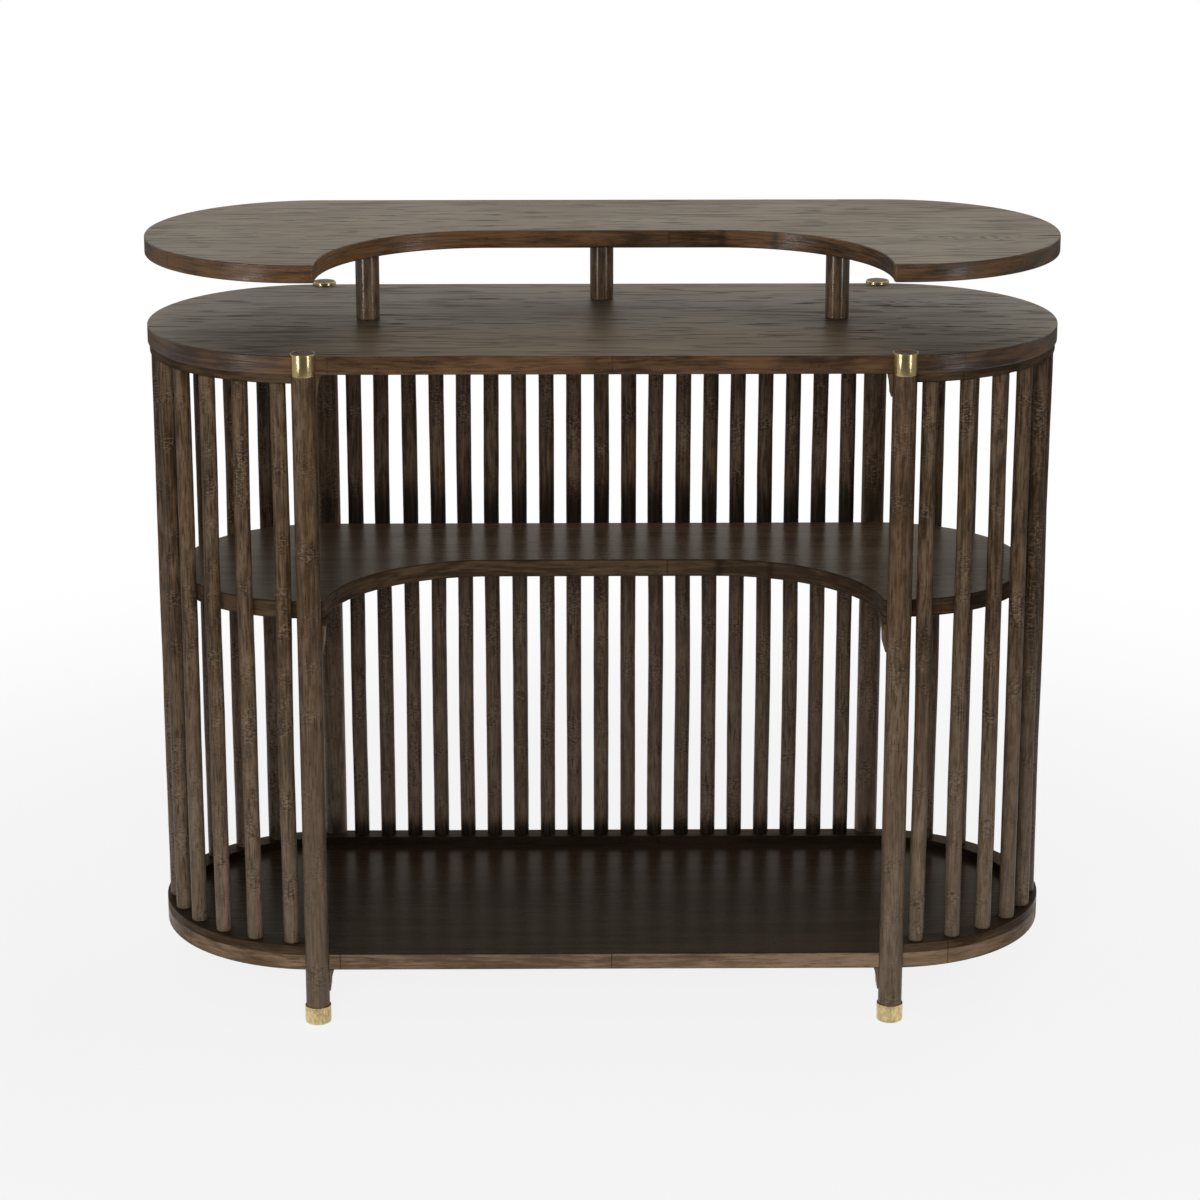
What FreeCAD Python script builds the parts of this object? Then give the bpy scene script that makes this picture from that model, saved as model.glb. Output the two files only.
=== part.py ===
import FreeCAD, Part
import os
import re
import Sketcher

# Bar table with a raised counter. Four round legs are let half-way into the edges of
# racetrack boards, and a cage of round slats stands round both ends and the back.
# The origin is on the floor at the centre of the plan, +Z is up, +X runs along the
# length, and the open front with the cut-outs faces -Y.

# Driving dimensions in millimetres, one sheet cell each.
SIZES = {
    # plan of the boards
    "top_width": 1220,
    "top_depth": 445,
    "edge_round": 2,
    # main top
    "main_top_height": 926,
    "top_thickness": 25,
    # raised counter and its posts
    "counter_lift": 119,
    "counter_thickness": 24,
    "post_diameter": 32,
    "post_end_ease": 1,
    "post_tenon_diameter": 20,
    "post_tenon_length": 14,
    "side_post_reach": 315,
    "side_post_setback": 5,
    "rear_post_setback": 127,
    # cut-out shared by the raised counter and the middle shelf
    "cutout_wall": 8,
    "cutout_corner": 217,
    "tip_width": 16.5,
    "tip_round": 4,
    # middle shelf
    "mid_shelf_height": 587,
    "mid_shelf_thickness": 24,
    "shelf_slat_gap": 6.25,
    # bottom shelf
    "bottom_shelf_height": 99,
    "bottom_shelf_thickness": 23,
    # rails that hold the slats
    "rail_width": 30,
    "rail_thickness": 12,
    "rail_edge_round": 1,
    "upper_rail_inset": 2.5,
    # slats
    "slat_diameter": 21.5,
    "slat_end_ease": 2,
    "slat_tenon_diameter": 12,
    "slat_tenon_length": 9,
    # legs and their brass
    "leg_diameter": 32,
    "leg_proud": 4,
    "collar_wall": 1.5,
    "collar_proud": 0.2,
    "ferrule_height": 25,
    "ferrule_wall": 1.5,
    "ferrule_floor": 2,
    "ferrule_foot_round": 3,
    "glide_diameter": 22,
    "glide_thickness": 2,
    "glide_pin_diameter": 4,
    "glide_pin_depth": 12,
    # corner blocks
    "block_drop": 30,
    "block_depth": 30,
    "shelf_block_drop": 38,
    "shelf_block_bearing": 26,
    "block_toe": 1.5,
    "block_flare": 5,
    # wood screws of the corner blocks
    "screw_diameter": 4,
    "screw_length": 34,
    "screw_tip": 4,
    "screw_head_diameter": 8,
    "screw_head_height": 3.5,
    "screw_grip": 24,
    "board_screw_offset": 12,
    "board_screw_margin": 8,
    "leg_screw_offset": 5.5,
    "leg_screw_drop": 14,
    # fits
    "fit_clearance": 0.1,
    "tenon_end_room": 0.5,
    "cut_overrun": 10,
}

# Slats along the back and round each end, and the angle from a leg to the first end slat.
BACK_SLATS = 19
END_SLATS = 12
FIRST_SLAT_ANGLE = 9.7
HALF_TURN = 180
FULL_TURN = 360

# Two levels closer than this are the same level.
SAME_LEVEL = 1e-4

# Places worked out from the driving dimensions.
END_CENTRE = "(top_width - top_depth) / 2"
END_RADIUS = "top_depth / 2"
CUTOUT_SIDE = f"({END_CENTRE} - tip_width)"
CUTOUT_BACK = f"(cutout_wall + cutout_corner - {END_RADIUS})"
SLAT_RING = "(top_depth - rail_width) / 2"
MID_SHELF_INSET = "((rail_width + slat_diameter) / 2 + shelf_slat_gap)"
BACK_PITCH = f"(top_width - top_depth) / {BACK_SLATS + 1}"
MAIN_UNDERSIDE = "(main_top_height - top_thickness)"
COUNTER_TOP = "(main_top_height + counter_lift)"
POST_RUN = "(counter_lift - counter_thickness)"
MID_UNDERSIDE = "(mid_shelf_height - mid_shelf_thickness)"
BOTTOM_UNDERSIDE = "(bottom_shelf_height - bottom_shelf_thickness)"
UPPER_RAIL_FOOT = f"({MAIN_UNDERSIDE} - rail_thickness)"
SLAT_FOOT = "(bottom_shelf_height + rail_thickness)"
SLAT_RUN = f"({UPPER_RAIL_FOOT} - {SLAT_FOOT})"
LEG_FOOT = "(glide_thickness + ferrule_floor)"
LEG_TOP = "(main_top_height + leg_proud)"
COLLAR_RADIUS = "(leg_diameter / 2 + collar_proud)"
COLLAR_BORE = f"({COLLAR_RADIUS} - collar_wall)"
LEG_HOUSING = "(leg_diameter / 2 + fit_clearance)"
PIN_HOLE = "(glide_pin_diameter / 2 + fit_clearance)"
SCREW_HOLE = "(screw_diameter / 2 + fit_clearance)"
BLOCK_REACH = "(leg_diameter / 2 + block_toe + block_flare)"
SHELF_BLOCK_DEPTH = f"({MID_SHELF_INSET} + shelf_block_bearing)"

# Legs by name: which side of the table they stand on, as signs of X and Y.
LEGS = {
    "front_left": (-1, -1),
    "front_right": (1, -1),
    "back_left": (-1, 1),
    "back_right": (1, 1),
}

doc = FreeCAD.newDocument("BarTable")
sheet = doc.addObject("Spreadsheet::Sheet", "Sizes")
for row, (alias, number) in enumerate(SIZES.items(), start=1):
    sheet.set(f"A{row}", alias)
    sheet.set(f"B{row}", str(number))
    sheet.setAlias(f"B{row}", alias)
doc.recompute()

nodes = []


# Expressions and dimensions

def tied(words):
    """Expression in which every size's name points at its cell."""
    return re.sub(r"[a-z_]+", lambda found: cell_name(found.group()), words)


def cell_name(word):
    """A size's name with the sheet's in front; any other word as it is."""
    return "Sizes." + word if word in SIZES else word


def size_of(words):
    """Present value of an expression in named sizes."""
    return float(sheet.evalExpression(tied(words)))


def place(item, x, y, z):
    """Tie an object's place to three expressions."""
    for axis, words in zip("xyz", (x, y, z)):
        item.setExpression(f"Placement.Base.{axis}", tied(words))


def dimension(sketch, words, kind, *where):
    """Add a sketch dimension tied to an expression."""
    index = sketch.addConstraint(Sketcher.Constraint(kind, *where, size_of(words)))
    sketch.setExpression(f"Constraints[{index}]", tied(words))


def pin_point(sketch, line, end, x, y):
    """Hold one point of a sketch at a place given by two expressions."""
    if x == "0":
        sketch.addConstraint(Sketcher.Constraint("PointOnObject", line, end, -2))
    else:
        dimension(sketch, x, "DistanceX", -1, 1, line, end)
    if y == "0":
        sketch.addConstraint(Sketcher.Constraint("PointOnObject", line, end, -1))
    else:
        dimension(sketch, y, "DistanceY", -1, 1, line, end)


# Bodies, sketches and features

def new_body(label, x="0", y="0", z="0"):
    """Body of one piece, standing at a place given by expressions."""
    body = doc.addObject("PartDesign::Body", label)
    body.Label = label
    place(body, x, y, z)
    return body


def new_sketch(body, plane, x="0", y="0", lift="0"):
    """Sketch on one of the body's own planes, shifted in the plane and lifted off it."""
    sketch = body.newObject("Sketcher::SketchObject", body.Label + "_sketch")
    support = [item for item in body.Origin.OriginFeatures if item.Role == plane]
    sketch.AttachmentSupport = [(support[0], "")]
    sketch.MapMode = "FlatFace"
    for axis, words in zip("xyz", (x, y, lift)):
        sketch.setExpression(f"AttachmentOffset.Base.{axis}", tied(words))
    return sketch


def draw_outline(sketch, corners):
    """Closed outline of straight runs through corners given as pairs of expressions."""
    spots = [FreeCAD.Vector(size_of(x), size_of(y), 0) for x, y in corners]
    following = spots[1:] + spots[:1]
    for start, end in zip(spots, following):
        sketch.addGeometry(Part.LineSegment(start, end), False)
    for run in range(len(corners)):
        after = (run + 1) % len(corners)
        sketch.addConstraint(Sketcher.Constraint("Coincident", run, 2, after, 1))
    for run, (x, y) in enumerate(corners):
        pin_point(sketch, run, 1, x, y)


def draw_circles(sketch, radius, centres):
    """Circles of one radius about centres given as pairs of expressions."""
    upward = FreeCAD.Vector(0, 0, 1)
    for x, y in centres:
        middle = FreeCAD.Vector(size_of(x), size_of(y), 0)
        ring = sketch.addGeometry(Part.Circle(middle, upward, size_of(radius)), False)
        pin_point(sketch, ring, 3, x, y)
        dimension(sketch, radius, "Radius", ring)


def draw_racetrack(sketch, half_straight, radius):
    """Two straight runs along X joined by half circles at both ends."""
    straight = size_of(half_straight)
    bend = size_of(radius)
    front_left = FreeCAD.Vector(-straight, -bend, 0)
    front_right = FreeCAD.Vector(straight, -bend, 0)
    back_left = FreeCAD.Vector(-straight, bend, 0)
    back_right = FreeCAD.Vector(straight, bend, 0)
    right_end = FreeCAD.Vector(straight + bend, 0, 0)
    left_end = FreeCAD.Vector(-straight - bend, 0, 0)
    front = sketch.addGeometry(Part.LineSegment(front_left, front_right), False)
    right = sketch.addGeometry(Part.Arc(front_right, right_end, back_right), False)
    back = sketch.addGeometry(Part.LineSegment(back_right, back_left), False)
    left = sketch.addGeometry(Part.Arc(back_left, left_end, front_left), False)
    for run, after in ((front, right), (right, back), (back, left), (left, front)):
        sketch.addConstraint(Sketcher.Constraint("Tangent", run, 2, after, 1))
    sketch.addConstraint(Sketcher.Constraint("Equal", right, left))
    sketch.addConstraint(Sketcher.Constraint("PointOnObject", right, 3, -1))
    sketch.addConstraint(Sketcher.Constraint("Symmetric", right, 3, left, 3, -1, 1))
    dimension(sketch, radius, "Radius", right)
    dimension(sketch, half_straight, "DistanceX", -1, 1, right, 3)


def draw_cutout(sketch):
    """Wide opening with two quarter-round corners, running out past the front edge."""
    wall = size_of(CUTOUT_SIDE)
    corner = size_of("cutout_corner")
    back = size_of(CUTOUT_BACK)
    front = size_of(f"-{END_RADIUS} - cut_overrun")
    half = 0.5 ** 0.5
    outer_left = FreeCAD.Vector(-wall, front, 0)
    outer_right = FreeCAD.Vector(wall, front, 0)
    right_foot = FreeCAD.Vector(wall, back - corner, 0)
    right_head = FreeCAD.Vector(wall - corner, back, 0)
    left_head = FreeCAD.Vector(corner - wall, back, 0)
    left_foot = FreeCAD.Vector(-wall, back - corner, 0)
    bulge = corner * (1 - half)
    right_middle = FreeCAD.Vector(wall - bulge, back - bulge, 0)
    left_middle = FreeCAD.Vector(bulge - wall, back - bulge, 0)
    runs = [
        Part.LineSegment(outer_left, outer_right),
        Part.LineSegment(outer_right, right_foot),
        Part.Arc(right_foot, right_middle, right_head),
        Part.LineSegment(right_head, left_head),
        Part.Arc(left_head, left_middle, left_foot),
        Part.LineSegment(left_foot, outer_left),
    ]
    mouth, right_wall, right_bend, back_edge, left_bend, left_wall = [
        sketch.addGeometry(run, False) for run in runs
    ]
    sketch.addConstraint(Sketcher.Constraint("Coincident", mouth, 2, right_wall, 1))
    sketch.addConstraint(Sketcher.Constraint("Tangent", right_wall, 2, right_bend, 1))
    sketch.addConstraint(Sketcher.Constraint("Tangent", right_bend, 2, back_edge, 1))
    sketch.addConstraint(Sketcher.Constraint("Tangent", back_edge, 2, left_bend, 1))
    sketch.addConstraint(Sketcher.Constraint("Tangent", left_bend, 2, left_wall, 1))
    sketch.addConstraint(Sketcher.Constraint("Coincident", left_wall, 2, mouth, 1))
    sketch.addConstraint(Sketcher.Constraint("Equal", right_bend, left_bend))
    sketch.addConstraint(Sketcher.Constraint("Symmetric", mouth, 1, mouth, 2, -2))
    sketch.addConstraint(Sketcher.Constraint("Vertical", right_wall))
    sketch.addConstraint(Sketcher.Constraint("Horizontal", back_edge))
    dimension(sketch, "cutout_corner", "Radius", right_bend)
    pin_point(sketch, mouth, 2, CUTOUT_SIDE, f"-{END_RADIUS} - cut_overrun")
    dimension(sketch, CUTOUT_BACK, "DistanceY", -1, 1, back_edge, 1)


def pad(body, sketch, length):
    """Thicken a sketch along its normal."""
    feature = body.newObject("PartDesign::Pad", body.Label + "_pad")
    feature.Profile = sketch
    feature.setExpression("Length", tied(length))
    return feature


def pocket(body, sketch, depth=None, forward=False):
    """Cut a sketch into the body against its normal, or along it; right through by default."""
    feature = body.newObject("PartDesign::Pocket", body.Label + "_pocket")
    feature.Profile = sketch
    feature.Reversed = forward
    if depth is None:
        feature.Type = "ThroughAll"
    else:
        feature.setExpression("Length", tied(depth))
    return feature


def turn(body, corners):
    """Piece turned about its own upright axis from a half profile."""
    sketch = new_sketch(body, "XZ_Plane")
    draw_outline(sketch, corners)
    feature = body.newObject("PartDesign::Revolution", body.Label + "_turned")
    feature.Profile = sketch
    feature.ReferenceAxis = (sketch, ["V_Axis"])
    feature.Angle = FULL_TURN
    return feature


def level_edges(shape, levels):
    """Names of the edges that lie flat at one of the levels."""
    names = []
    for index, edge in enumerate(shape.Edges, start=1):
        heights = [corner.Z for corner in edge.Vertexes] + [edge.CenterOfMass.z]
        for level in levels:
            if all(abs(height - level) < SAME_LEVEL for height in heights):
                names.append(f"Edge{index}")
    return names


def upright_edges(shape, y):
    """Names of the upright edges nearest the middle, of those at one place across the depth."""
    names = []
    for index, edge in enumerate(shape.Edges, start=1):
        ends = edge.Vertexes
        straight_up = len(ends) == 2 and abs(ends[0].Z - ends[1].Z) > SAME_LEVEL
        if straight_up and all(abs(end.Y - y) < SAME_LEVEL for end in ends):
            names.append((f"Edge{index}", abs(ends[0].X)))
    nearest = min(reach for _, reach in names)
    return [name for name, reach in names if abs(reach - nearest) < SAME_LEVEL]


def round_edges(body, base, names, radius):
    """Round the named edges of a feature."""
    feature = body.newObject("PartDesign::Fillet", body.Label + "_round")
    feature.Base = (base, names)
    feature.setExpression("Radius", tied(radius))
    return feature


def group(label, members):
    """Node that holds like pieces as separate solids."""
    compound = doc.addObject("Part::Compound", label)
    compound.Label = label
    compound.Links = members
    nodes.append(compound)


# Shapes that several pieces share

def signed(sign, words):
    """An expression on the side of the table that the sign gives."""
    return words if sign > 0 else f"-({words})"


def leg_place(name):
    """Plan place of a leg's axis, on the outline of the boards."""
    side, face = LEGS[name]
    return signed(side, END_CENTRE), signed(face, END_RADIUS)


def cut_leg_notches(body, radius):
    """Half-round housings in a board's or rail's edge for the four legs."""
    sketch = new_sketch(body, "XY_Plane")
    draw_circles(sketch, radius, [leg_place(name) for name in LEGS])
    pocket(body, sketch, forward=True)


def post_places():
    """Plan places of the two side posts and the rear post."""
    return [
        ("-side_post_reach", "side_post_setback"),
        ("side_post_reach", "side_post_setback"),
        ("0", "rear_post_setback"),
    ]


def cut_post_holes(body, from_top, thickness):
    """Blind holes for the posts' tenons, in a board's top face or in its underside."""
    sketch = new_sketch(body, "XY_Plane", lift=thickness if from_top else "0")
    draw_circles(sketch, "post_tenon_diameter / 2 + fit_clearance", post_places())
    pocket(body, sketch, "post_tenon_length + tenon_end_room", forward=not from_top)


def block_screw_place(name, depth):
    """Plan place of the upright screw in the corner block of a leg."""
    side, face = LEGS[name]
    x = signed(side, f"{END_CENTRE} - board_screw_offset")
    y = signed(face, f"{END_RADIUS} - {depth} + board_screw_margin")
    return x, y


def cut_block_screw_holes(body, names, depth):
    """Blind holes in a board's underside for the screws that come up through the blocks."""
    sketch = new_sketch(body, "XY_Plane")
    draw_circles(sketch, SCREW_HOLE, [block_screw_place(name, depth) for name in names])
    pocket(body, sketch, "screw_length - screw_grip + tenon_end_room", forward=True)


# Boards

def board(label, top, thickness, inset="0"):
    """Racetrack board, its upper face at the given height; returns its body and its pad."""
    body = new_body(label, z=f"{top} - {thickness}")
    sketch = new_sketch(body, "XY_Plane")
    draw_racetrack(sketch, END_CENTRE, f"{END_RADIUS} - {inset}")
    return body, pad(body, sketch, thickness)


def ease_board(body, base, thickness):
    """Round a board's upper and lower outlines."""
    doc.recompute()
    names = level_edges(base.Shape, [0, size_of(thickness)])
    round_edges(body, base, names, "edge_round")


def open_front(body, thickness, front):
    """Cut a wide opening into a board's front, soften its tips and round all outlines."""
    sketch = new_sketch(body, "XY_Plane")
    draw_cutout(sketch)
    opening = pocket(body, sketch, forward=True)
    doc.recompute()
    names = upright_edges(opening.Shape, size_of(front))
    tips = round_edges(body, opening, names, "tip_round")
    ease_board(body, tips, thickness)


def make_main_top():
    """Main top, which carries the posts and is notched for the legs' collars."""
    body, blank = board("main_top", "main_top_height", "top_thickness")
    ease_board(body, blank, "top_thickness")
    cut_leg_notches(body, f"{COLLAR_RADIUS} + fit_clearance")
    cut_post_holes(body, True, "top_thickness")
    cut_block_screw_holes(body, ["front_left", "front_right"], "block_depth")
    nodes.append(body)


def make_riser_top():
    """Raised counter, open at the front."""
    body, _ = board("riser_top", COUNTER_TOP, "counter_thickness")
    open_front(body, "counter_thickness", f"-{END_RADIUS}")
    cut_post_holes(body, False, "counter_thickness")
    nodes.append(body)


def make_mid_shelf():
    """Middle shelf inside the slats, open at the front."""
    body, _ = board("mid_shelf", "mid_shelf_height", "mid_shelf_thickness", MID_SHELF_INSET)
    open_front(body, "mid_shelf_thickness", f"{MID_SHELF_INSET} - {END_RADIUS}")
    cut_block_screw_holes(body, LEGS, SHELF_BLOCK_DEPTH)
    nodes.append(body)


def make_bottom_shelf():
    """Bottom shelf, notched for the legs."""
    body, blank = board("bottom_shelf", "bottom_shelf_height", "bottom_shelf_thickness")
    ease_board(body, blank, "bottom_shelf_thickness")
    cut_leg_notches(body, LEG_HOUSING)
    cut_block_screw_holes(body, LEGS, "block_depth")
    nodes.append(body)


# Rails and slats

def slat_hole_pattern(body, level, forward):
    """Blind holes for the slats' tenons: a row along the back and an arc round each end."""
    radius = "slat_tenon_diameter / 2 + fit_clearance"
    depth = "slat_tenon_length + tenon_end_room"
    row = new_sketch(body, "XY_Plane", lift=level)
    draw_circles(row, radius, [(f"{BACK_PITCH} - {END_CENTRE}", SLAT_RING)])
    first = pocket(body, row, depth, forward)
    line = body.newObject("PartDesign::LinearPattern", body.Label + "_back_holes")
    line.Originals = [first]
    line.Direction = (row, ["H_Axis"])
    line.setExpression("Length", tied(f"{BACK_PITCH} * {BACK_SLATS - 1}"))
    line.Occurrences = BACK_SLATS
    body.Tip = line
    for side in (-1, 1):
        arc = new_sketch(body, "XY_Plane", x=signed(side, END_CENTRE), lift=level)
        draw_circles(arc, radius, [end_slat_offset(side, 0)])
        first = pocket(body, arc, depth, forward)
        ring = body.newObject("PartDesign::PolarPattern", body.Label + "_end_holes")
        ring.Originals = [first]
        ring.Axis = (arc, ["N_Axis"])
        ring.Reversed = side < 0
        ring.Angle = HALF_TURN - 2 * FIRST_SLAT_ANGLE
        ring.Occurrences = END_SLATS
        body.Tip = ring


def end_slat_offset(side, index):
    """Place of a slat of one end from that end's centre, counted from the front leg."""
    step = (HALF_TURN - 2 * FIRST_SLAT_ANGLE) / (END_SLATS - 1)
    angle = FIRST_SLAT_ANGLE + index * step
    return signed(side, f"{SLAT_RING} * sin({angle})"), f"-{SLAT_RING} * cos({angle})"


def make_rail(label, foot, inset, seat_level, seat_forward):
    """Curved rail round both ends and the back, with a hole for each slat in its seat face."""
    body = new_body(label, z=foot)
    outer = new_sketch(body, "XY_Plane")
    draw_racetrack(outer, END_CENTRE, f"{END_RADIUS} - {inset}")
    pad(body, outer, "rail_thickness")
    inner = new_sketch(body, "XY_Plane")
    draw_racetrack(inner, END_CENTRE, f"{END_RADIUS} - rail_width + {inset}")
    pocket(body, inner, forward=True)
    gap = new_sketch(body, "XY_Plane")
    mouth = f"-{END_RADIUS} - cut_overrun"
    draw_outline(gap, [
        (f"-{END_CENTRE}", mouth),
        (END_CENTRE, mouth),
        (END_CENTRE, "0"),
        (f"-{END_CENTRE}", "0"),
    ])
    opened = pocket(body, gap, forward=True)
    doc.recompute()
    round_edges(body, opened, level_edges(opened.Shape, [size_of(seat_level)]), "rail_edge_round")
    cut_leg_notches(body, LEG_HOUSING)
    slat_hole_pattern(body, seat_level, seat_forward)
    nodes.append(body)


def make_rails():
    """Lower rail flush with the bottom shelf's edge, upper rail a little inside the main top's."""
    make_rail("lower_rail", "bottom_shelf_height", "0", "rail_thickness", False)
    make_rail("upper_rail", UPPER_RAIL_FOOT, "upper_rail_inset", "0", True)


def make_slat(label, x, y):
    """Round slat with eased ends and a turned tenon at each end."""
    body = new_body(label, x, y, SLAT_FOOT)
    turn(body, [
        ("0", "-slat_tenon_length"),
        ("slat_tenon_diameter / 2", "-slat_tenon_length"),
        ("slat_tenon_diameter / 2", "0"),
        ("slat_diameter / 2 - slat_end_ease", "0"),
        ("slat_diameter / 2", "slat_end_ease"),
        ("slat_diameter / 2", f"{SLAT_RUN} - slat_end_ease"),
        ("slat_diameter / 2 - slat_end_ease", SLAT_RUN),
        ("slat_tenon_diameter / 2", SLAT_RUN),
        ("slat_tenon_diameter / 2", f"{SLAT_RUN} + slat_tenon_length"),
        ("0", f"{SLAT_RUN} + slat_tenon_length"),
    ])
    nodes.append(body)


def make_slats():
    """Slats along the back from left to right, and round each end from front to back."""
    for index in range(BACK_SLATS):
        x = f"{BACK_PITCH} * {index + 1} - {END_CENTRE}"
        make_slat(f"back_slat_{index + 1:02d}", x, SLAT_RING)
    for name, side in (("left", -1), ("right", 1)):
        for index in range(END_SLATS):
            across, along = end_slat_offset(side, index)
            x = f"{signed(side, END_CENTRE)} + {across}"
            make_slat(f"{name}_slat_{index + 1:02d}", x, along)


# Legs with their brass and glides

def blocks_of(name):
    """Corner blocks of a leg: board's underside, drop and depth of each."""
    blocks = {
        "shelf": (MID_UNDERSIDE, "shelf_block_drop", SHELF_BLOCK_DEPTH),
        "base": (BOTTOM_UNDERSIDE, "block_drop", "block_depth"),
    }
    if name.startswith("front"):
        blocks["top"] = (MAIN_UNDERSIDE, "block_drop", "block_depth")
    return blocks


def make_leg(name):
    """Leg with a neck for its collar, a hole for the glide's pin and one for each block's screw."""
    side, face = LEGS[name]
    body = new_body(f"leg_{name}", *leg_place(name), "0")
    neck = f"{COLLAR_BORE} - fit_clearance"
    pin_hole_top = f"{LEG_FOOT} + glide_pin_depth + tenon_end_room"
    turn(body, [
        ("0", pin_hole_top),
        (PIN_HOLE, pin_hole_top),
        (PIN_HOLE, LEG_FOOT),
        ("leg_diameter / 2", LEG_FOOT),
        ("leg_diameter / 2", MAIN_UNDERSIDE),
        (neck, MAIN_UNDERSIDE),
        (neck, LEG_TOP),
        ("0", LEG_TOP),
    ])
    hole_end = "screw_length - screw_grip + tenon_end_room"
    sketch = new_sketch(body, "XZ_Plane", lift=signed(-face, hole_end))
    levels = [f"{under} - leg_screw_drop" for under, _, _ in blocks_of(name).values()]
    inward = signed(-side, "leg_screw_offset")
    draw_circles(sketch, SCREW_HOLE, [(inward, level) for level in levels])
    pocket(body, sketch, forward=face > 0)
    nodes.append(body)


def make_collar(name):
    """Brass tube round the leg's neck, as high as the leg."""
    body = new_body(f"collar_{name}", *leg_place(name), "0")
    turn(body, [
        (COLLAR_BORE, MAIN_UNDERSIDE),
        (COLLAR_RADIUS, MAIN_UNDERSIDE),
        (COLLAR_RADIUS, LEG_TOP),
        (COLLAR_BORE, LEG_TOP),
    ])
    return body


def make_ferrule(name):
    """Brass cup under the leg, pierced for the glide's pin."""
    body = new_body(f"ferrule_{name}", *leg_place(name), "glide_thickness")
    radius = f"{LEG_HOUSING} + ferrule_wall"
    cup = turn(body, [
        (PIN_HOLE, "0"),
        (radius, "0"),
        (radius, "ferrule_height"),
        (LEG_HOUSING, "ferrule_height"),
        (LEG_HOUSING, "ferrule_floor"),
        (PIN_HOLE, "ferrule_floor"),
    ])
    doc.recompute()
    foot = level_edges(cup.Shape, [0])
    widest = max(foot, key=lambda label: cup.Shape.getElement(label).Length)
    round_edges(body, cup, [widest], "ferrule_foot_round")
    return body


def make_glide(name):
    """Glide that the table stands on, with a pin up through the ferrule into the leg."""
    body = new_body(f"glide_{name}", *leg_place(name), "0")
    pin_top = f"{LEG_FOOT} + glide_pin_depth"
    turn(body, [
        ("0", "0"),
        ("glide_diameter / 2", "0"),
        ("glide_diameter / 2", "glide_thickness"),
        ("glide_pin_diameter / 2", "glide_thickness"),
        ("glide_pin_diameter / 2", pin_top),
        ("0", pin_top),
    ])
    return body


def make_legs():
    """Four legs, and their collars, ferrules and glides as groups."""
    for name in LEGS:
        make_leg(name)
    group("brass_collars", [make_collar(name) for name in LEGS])
    group("brass_ferrules", [make_ferrule(name) for name in LEGS])
    group("foot_glides", [make_glide(name) for name in LEGS])


# Posts of the raised counter

def make_post(label, x, y):
    """Short round post with a tenon at each end."""
    body = new_body(label, x, y, "main_top_height")
    turn(body, [
        ("0", "-post_tenon_length"),
        ("post_tenon_diameter / 2", "-post_tenon_length"),
        ("post_tenon_diameter / 2", "0"),
        ("post_diameter / 2 - post_end_ease", "0"),
        ("post_diameter / 2", "post_end_ease"),
        ("post_diameter / 2", f"{POST_RUN} - post_end_ease"),
        ("post_diameter / 2 - post_end_ease", POST_RUN),
        ("post_tenon_diameter / 2", POST_RUN),
        ("post_tenon_diameter / 2", f"{POST_RUN} + post_tenon_length"),
        ("0", f"{POST_RUN} + post_tenon_length"),
    ])
    return body


def make_posts():
    """Two side posts as one node, and the rear post."""
    left, right, rear = post_places()
    group("riser_side_posts", [make_post("post_left", *left), make_post("post_right", *right)])
    nodes.append(make_post("riser_rear_post", *rear))


# Corner blocks and their screws

def make_block(name, kind, drop, depth, under):
    """Block beside and behind a leg with a cove on its inner face, glued to the leg."""
    side, face = LEGS[name]
    body = new_body(f"block_{kind}_{name}", *leg_place(name), under)
    reach = signed(-side, BLOCK_REACH)
    front = new_sketch(body, "XZ_Plane")
    draw_outline(front, [("0", "0"), (reach, "0"), (reach, f"-{drop}"), ("0", f"-{drop}")])
    blank = pad(body, front, depth)
    blank.Reversed = face < 0
    cove_radius = f"(block_flare ^ 2 + {drop} ^ 2) / (2 * block_flare)"
    cove_middle = signed(-side, f"leg_diameter / 2 + block_toe + {cove_radius}")
    cove = new_sketch(body, "XZ_Plane")
    draw_circles(cove, cove_radius, [(cove_middle, f"-{drop}")])
    pocket(body, cove, forward=face > 0)
    housing = new_sketch(body, "XY_Plane")
    draw_circles(housing, LEG_HOUSING, [("0", "0")])
    pocket(body, housing)
    cut_board_screw(body, side, face, drop, depth)
    cut_leg_screw(body, side, face, depth)
    return body


def cut_board_screw(body, side, face, drop, depth):
    """Upright screw hole through a block, with a wider bore for the head from below."""
    x = signed(-side, "board_screw_offset")
    y = signed(-face, f"{depth} - board_screw_margin")
    shank = new_sketch(body, "XY_Plane")
    draw_circles(shank, SCREW_HOLE, [(x, y)])
    pocket(body, shank)
    seat = new_sketch(body, "XY_Plane", lift="-screw_grip")
    draw_circles(seat, "screw_head_diameter / 2 + fit_clearance", [(x, y)])
    pocket(body, seat)


def cut_leg_screw(body, side, face, depth):
    """Level screw hole from a block's rear face into the leg, with a wider bore for the head."""
    spot = (signed(-side, "leg_screw_offset"), "-leg_screw_drop")
    shank = new_sketch(body, "XZ_Plane")
    draw_circles(shank, SCREW_HOLE, [spot])
    pocket(body, shank, forward=face > 0)
    seat = new_sketch(body, "XZ_Plane", lift=signed(face, "screw_grip"))
    draw_circles(seat, "screw_head_diameter / 2 + fit_clearance", [spot])
    pocket(body, seat, forward=face > 0)


def make_screw(label, x, y, z, axis, angle):
    """Wood screw with a flat head, its shank pointing along +Z before it is turned."""
    body = new_body(label, x, y, z)
    body.Placement.Rotation = FreeCAD.Rotation(axis, angle)
    turn(body, [
        ("0", "-screw_head_height"),
        ("screw_head_diameter / 2", "-screw_head_height"),
        ("screw_head_diameter / 2", "0"),
        ("screw_diameter / 2", "0"),
        ("screw_diameter / 2", "screw_length - screw_tip"),
        ("0", "screw_length"),
    ])
    return body


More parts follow.
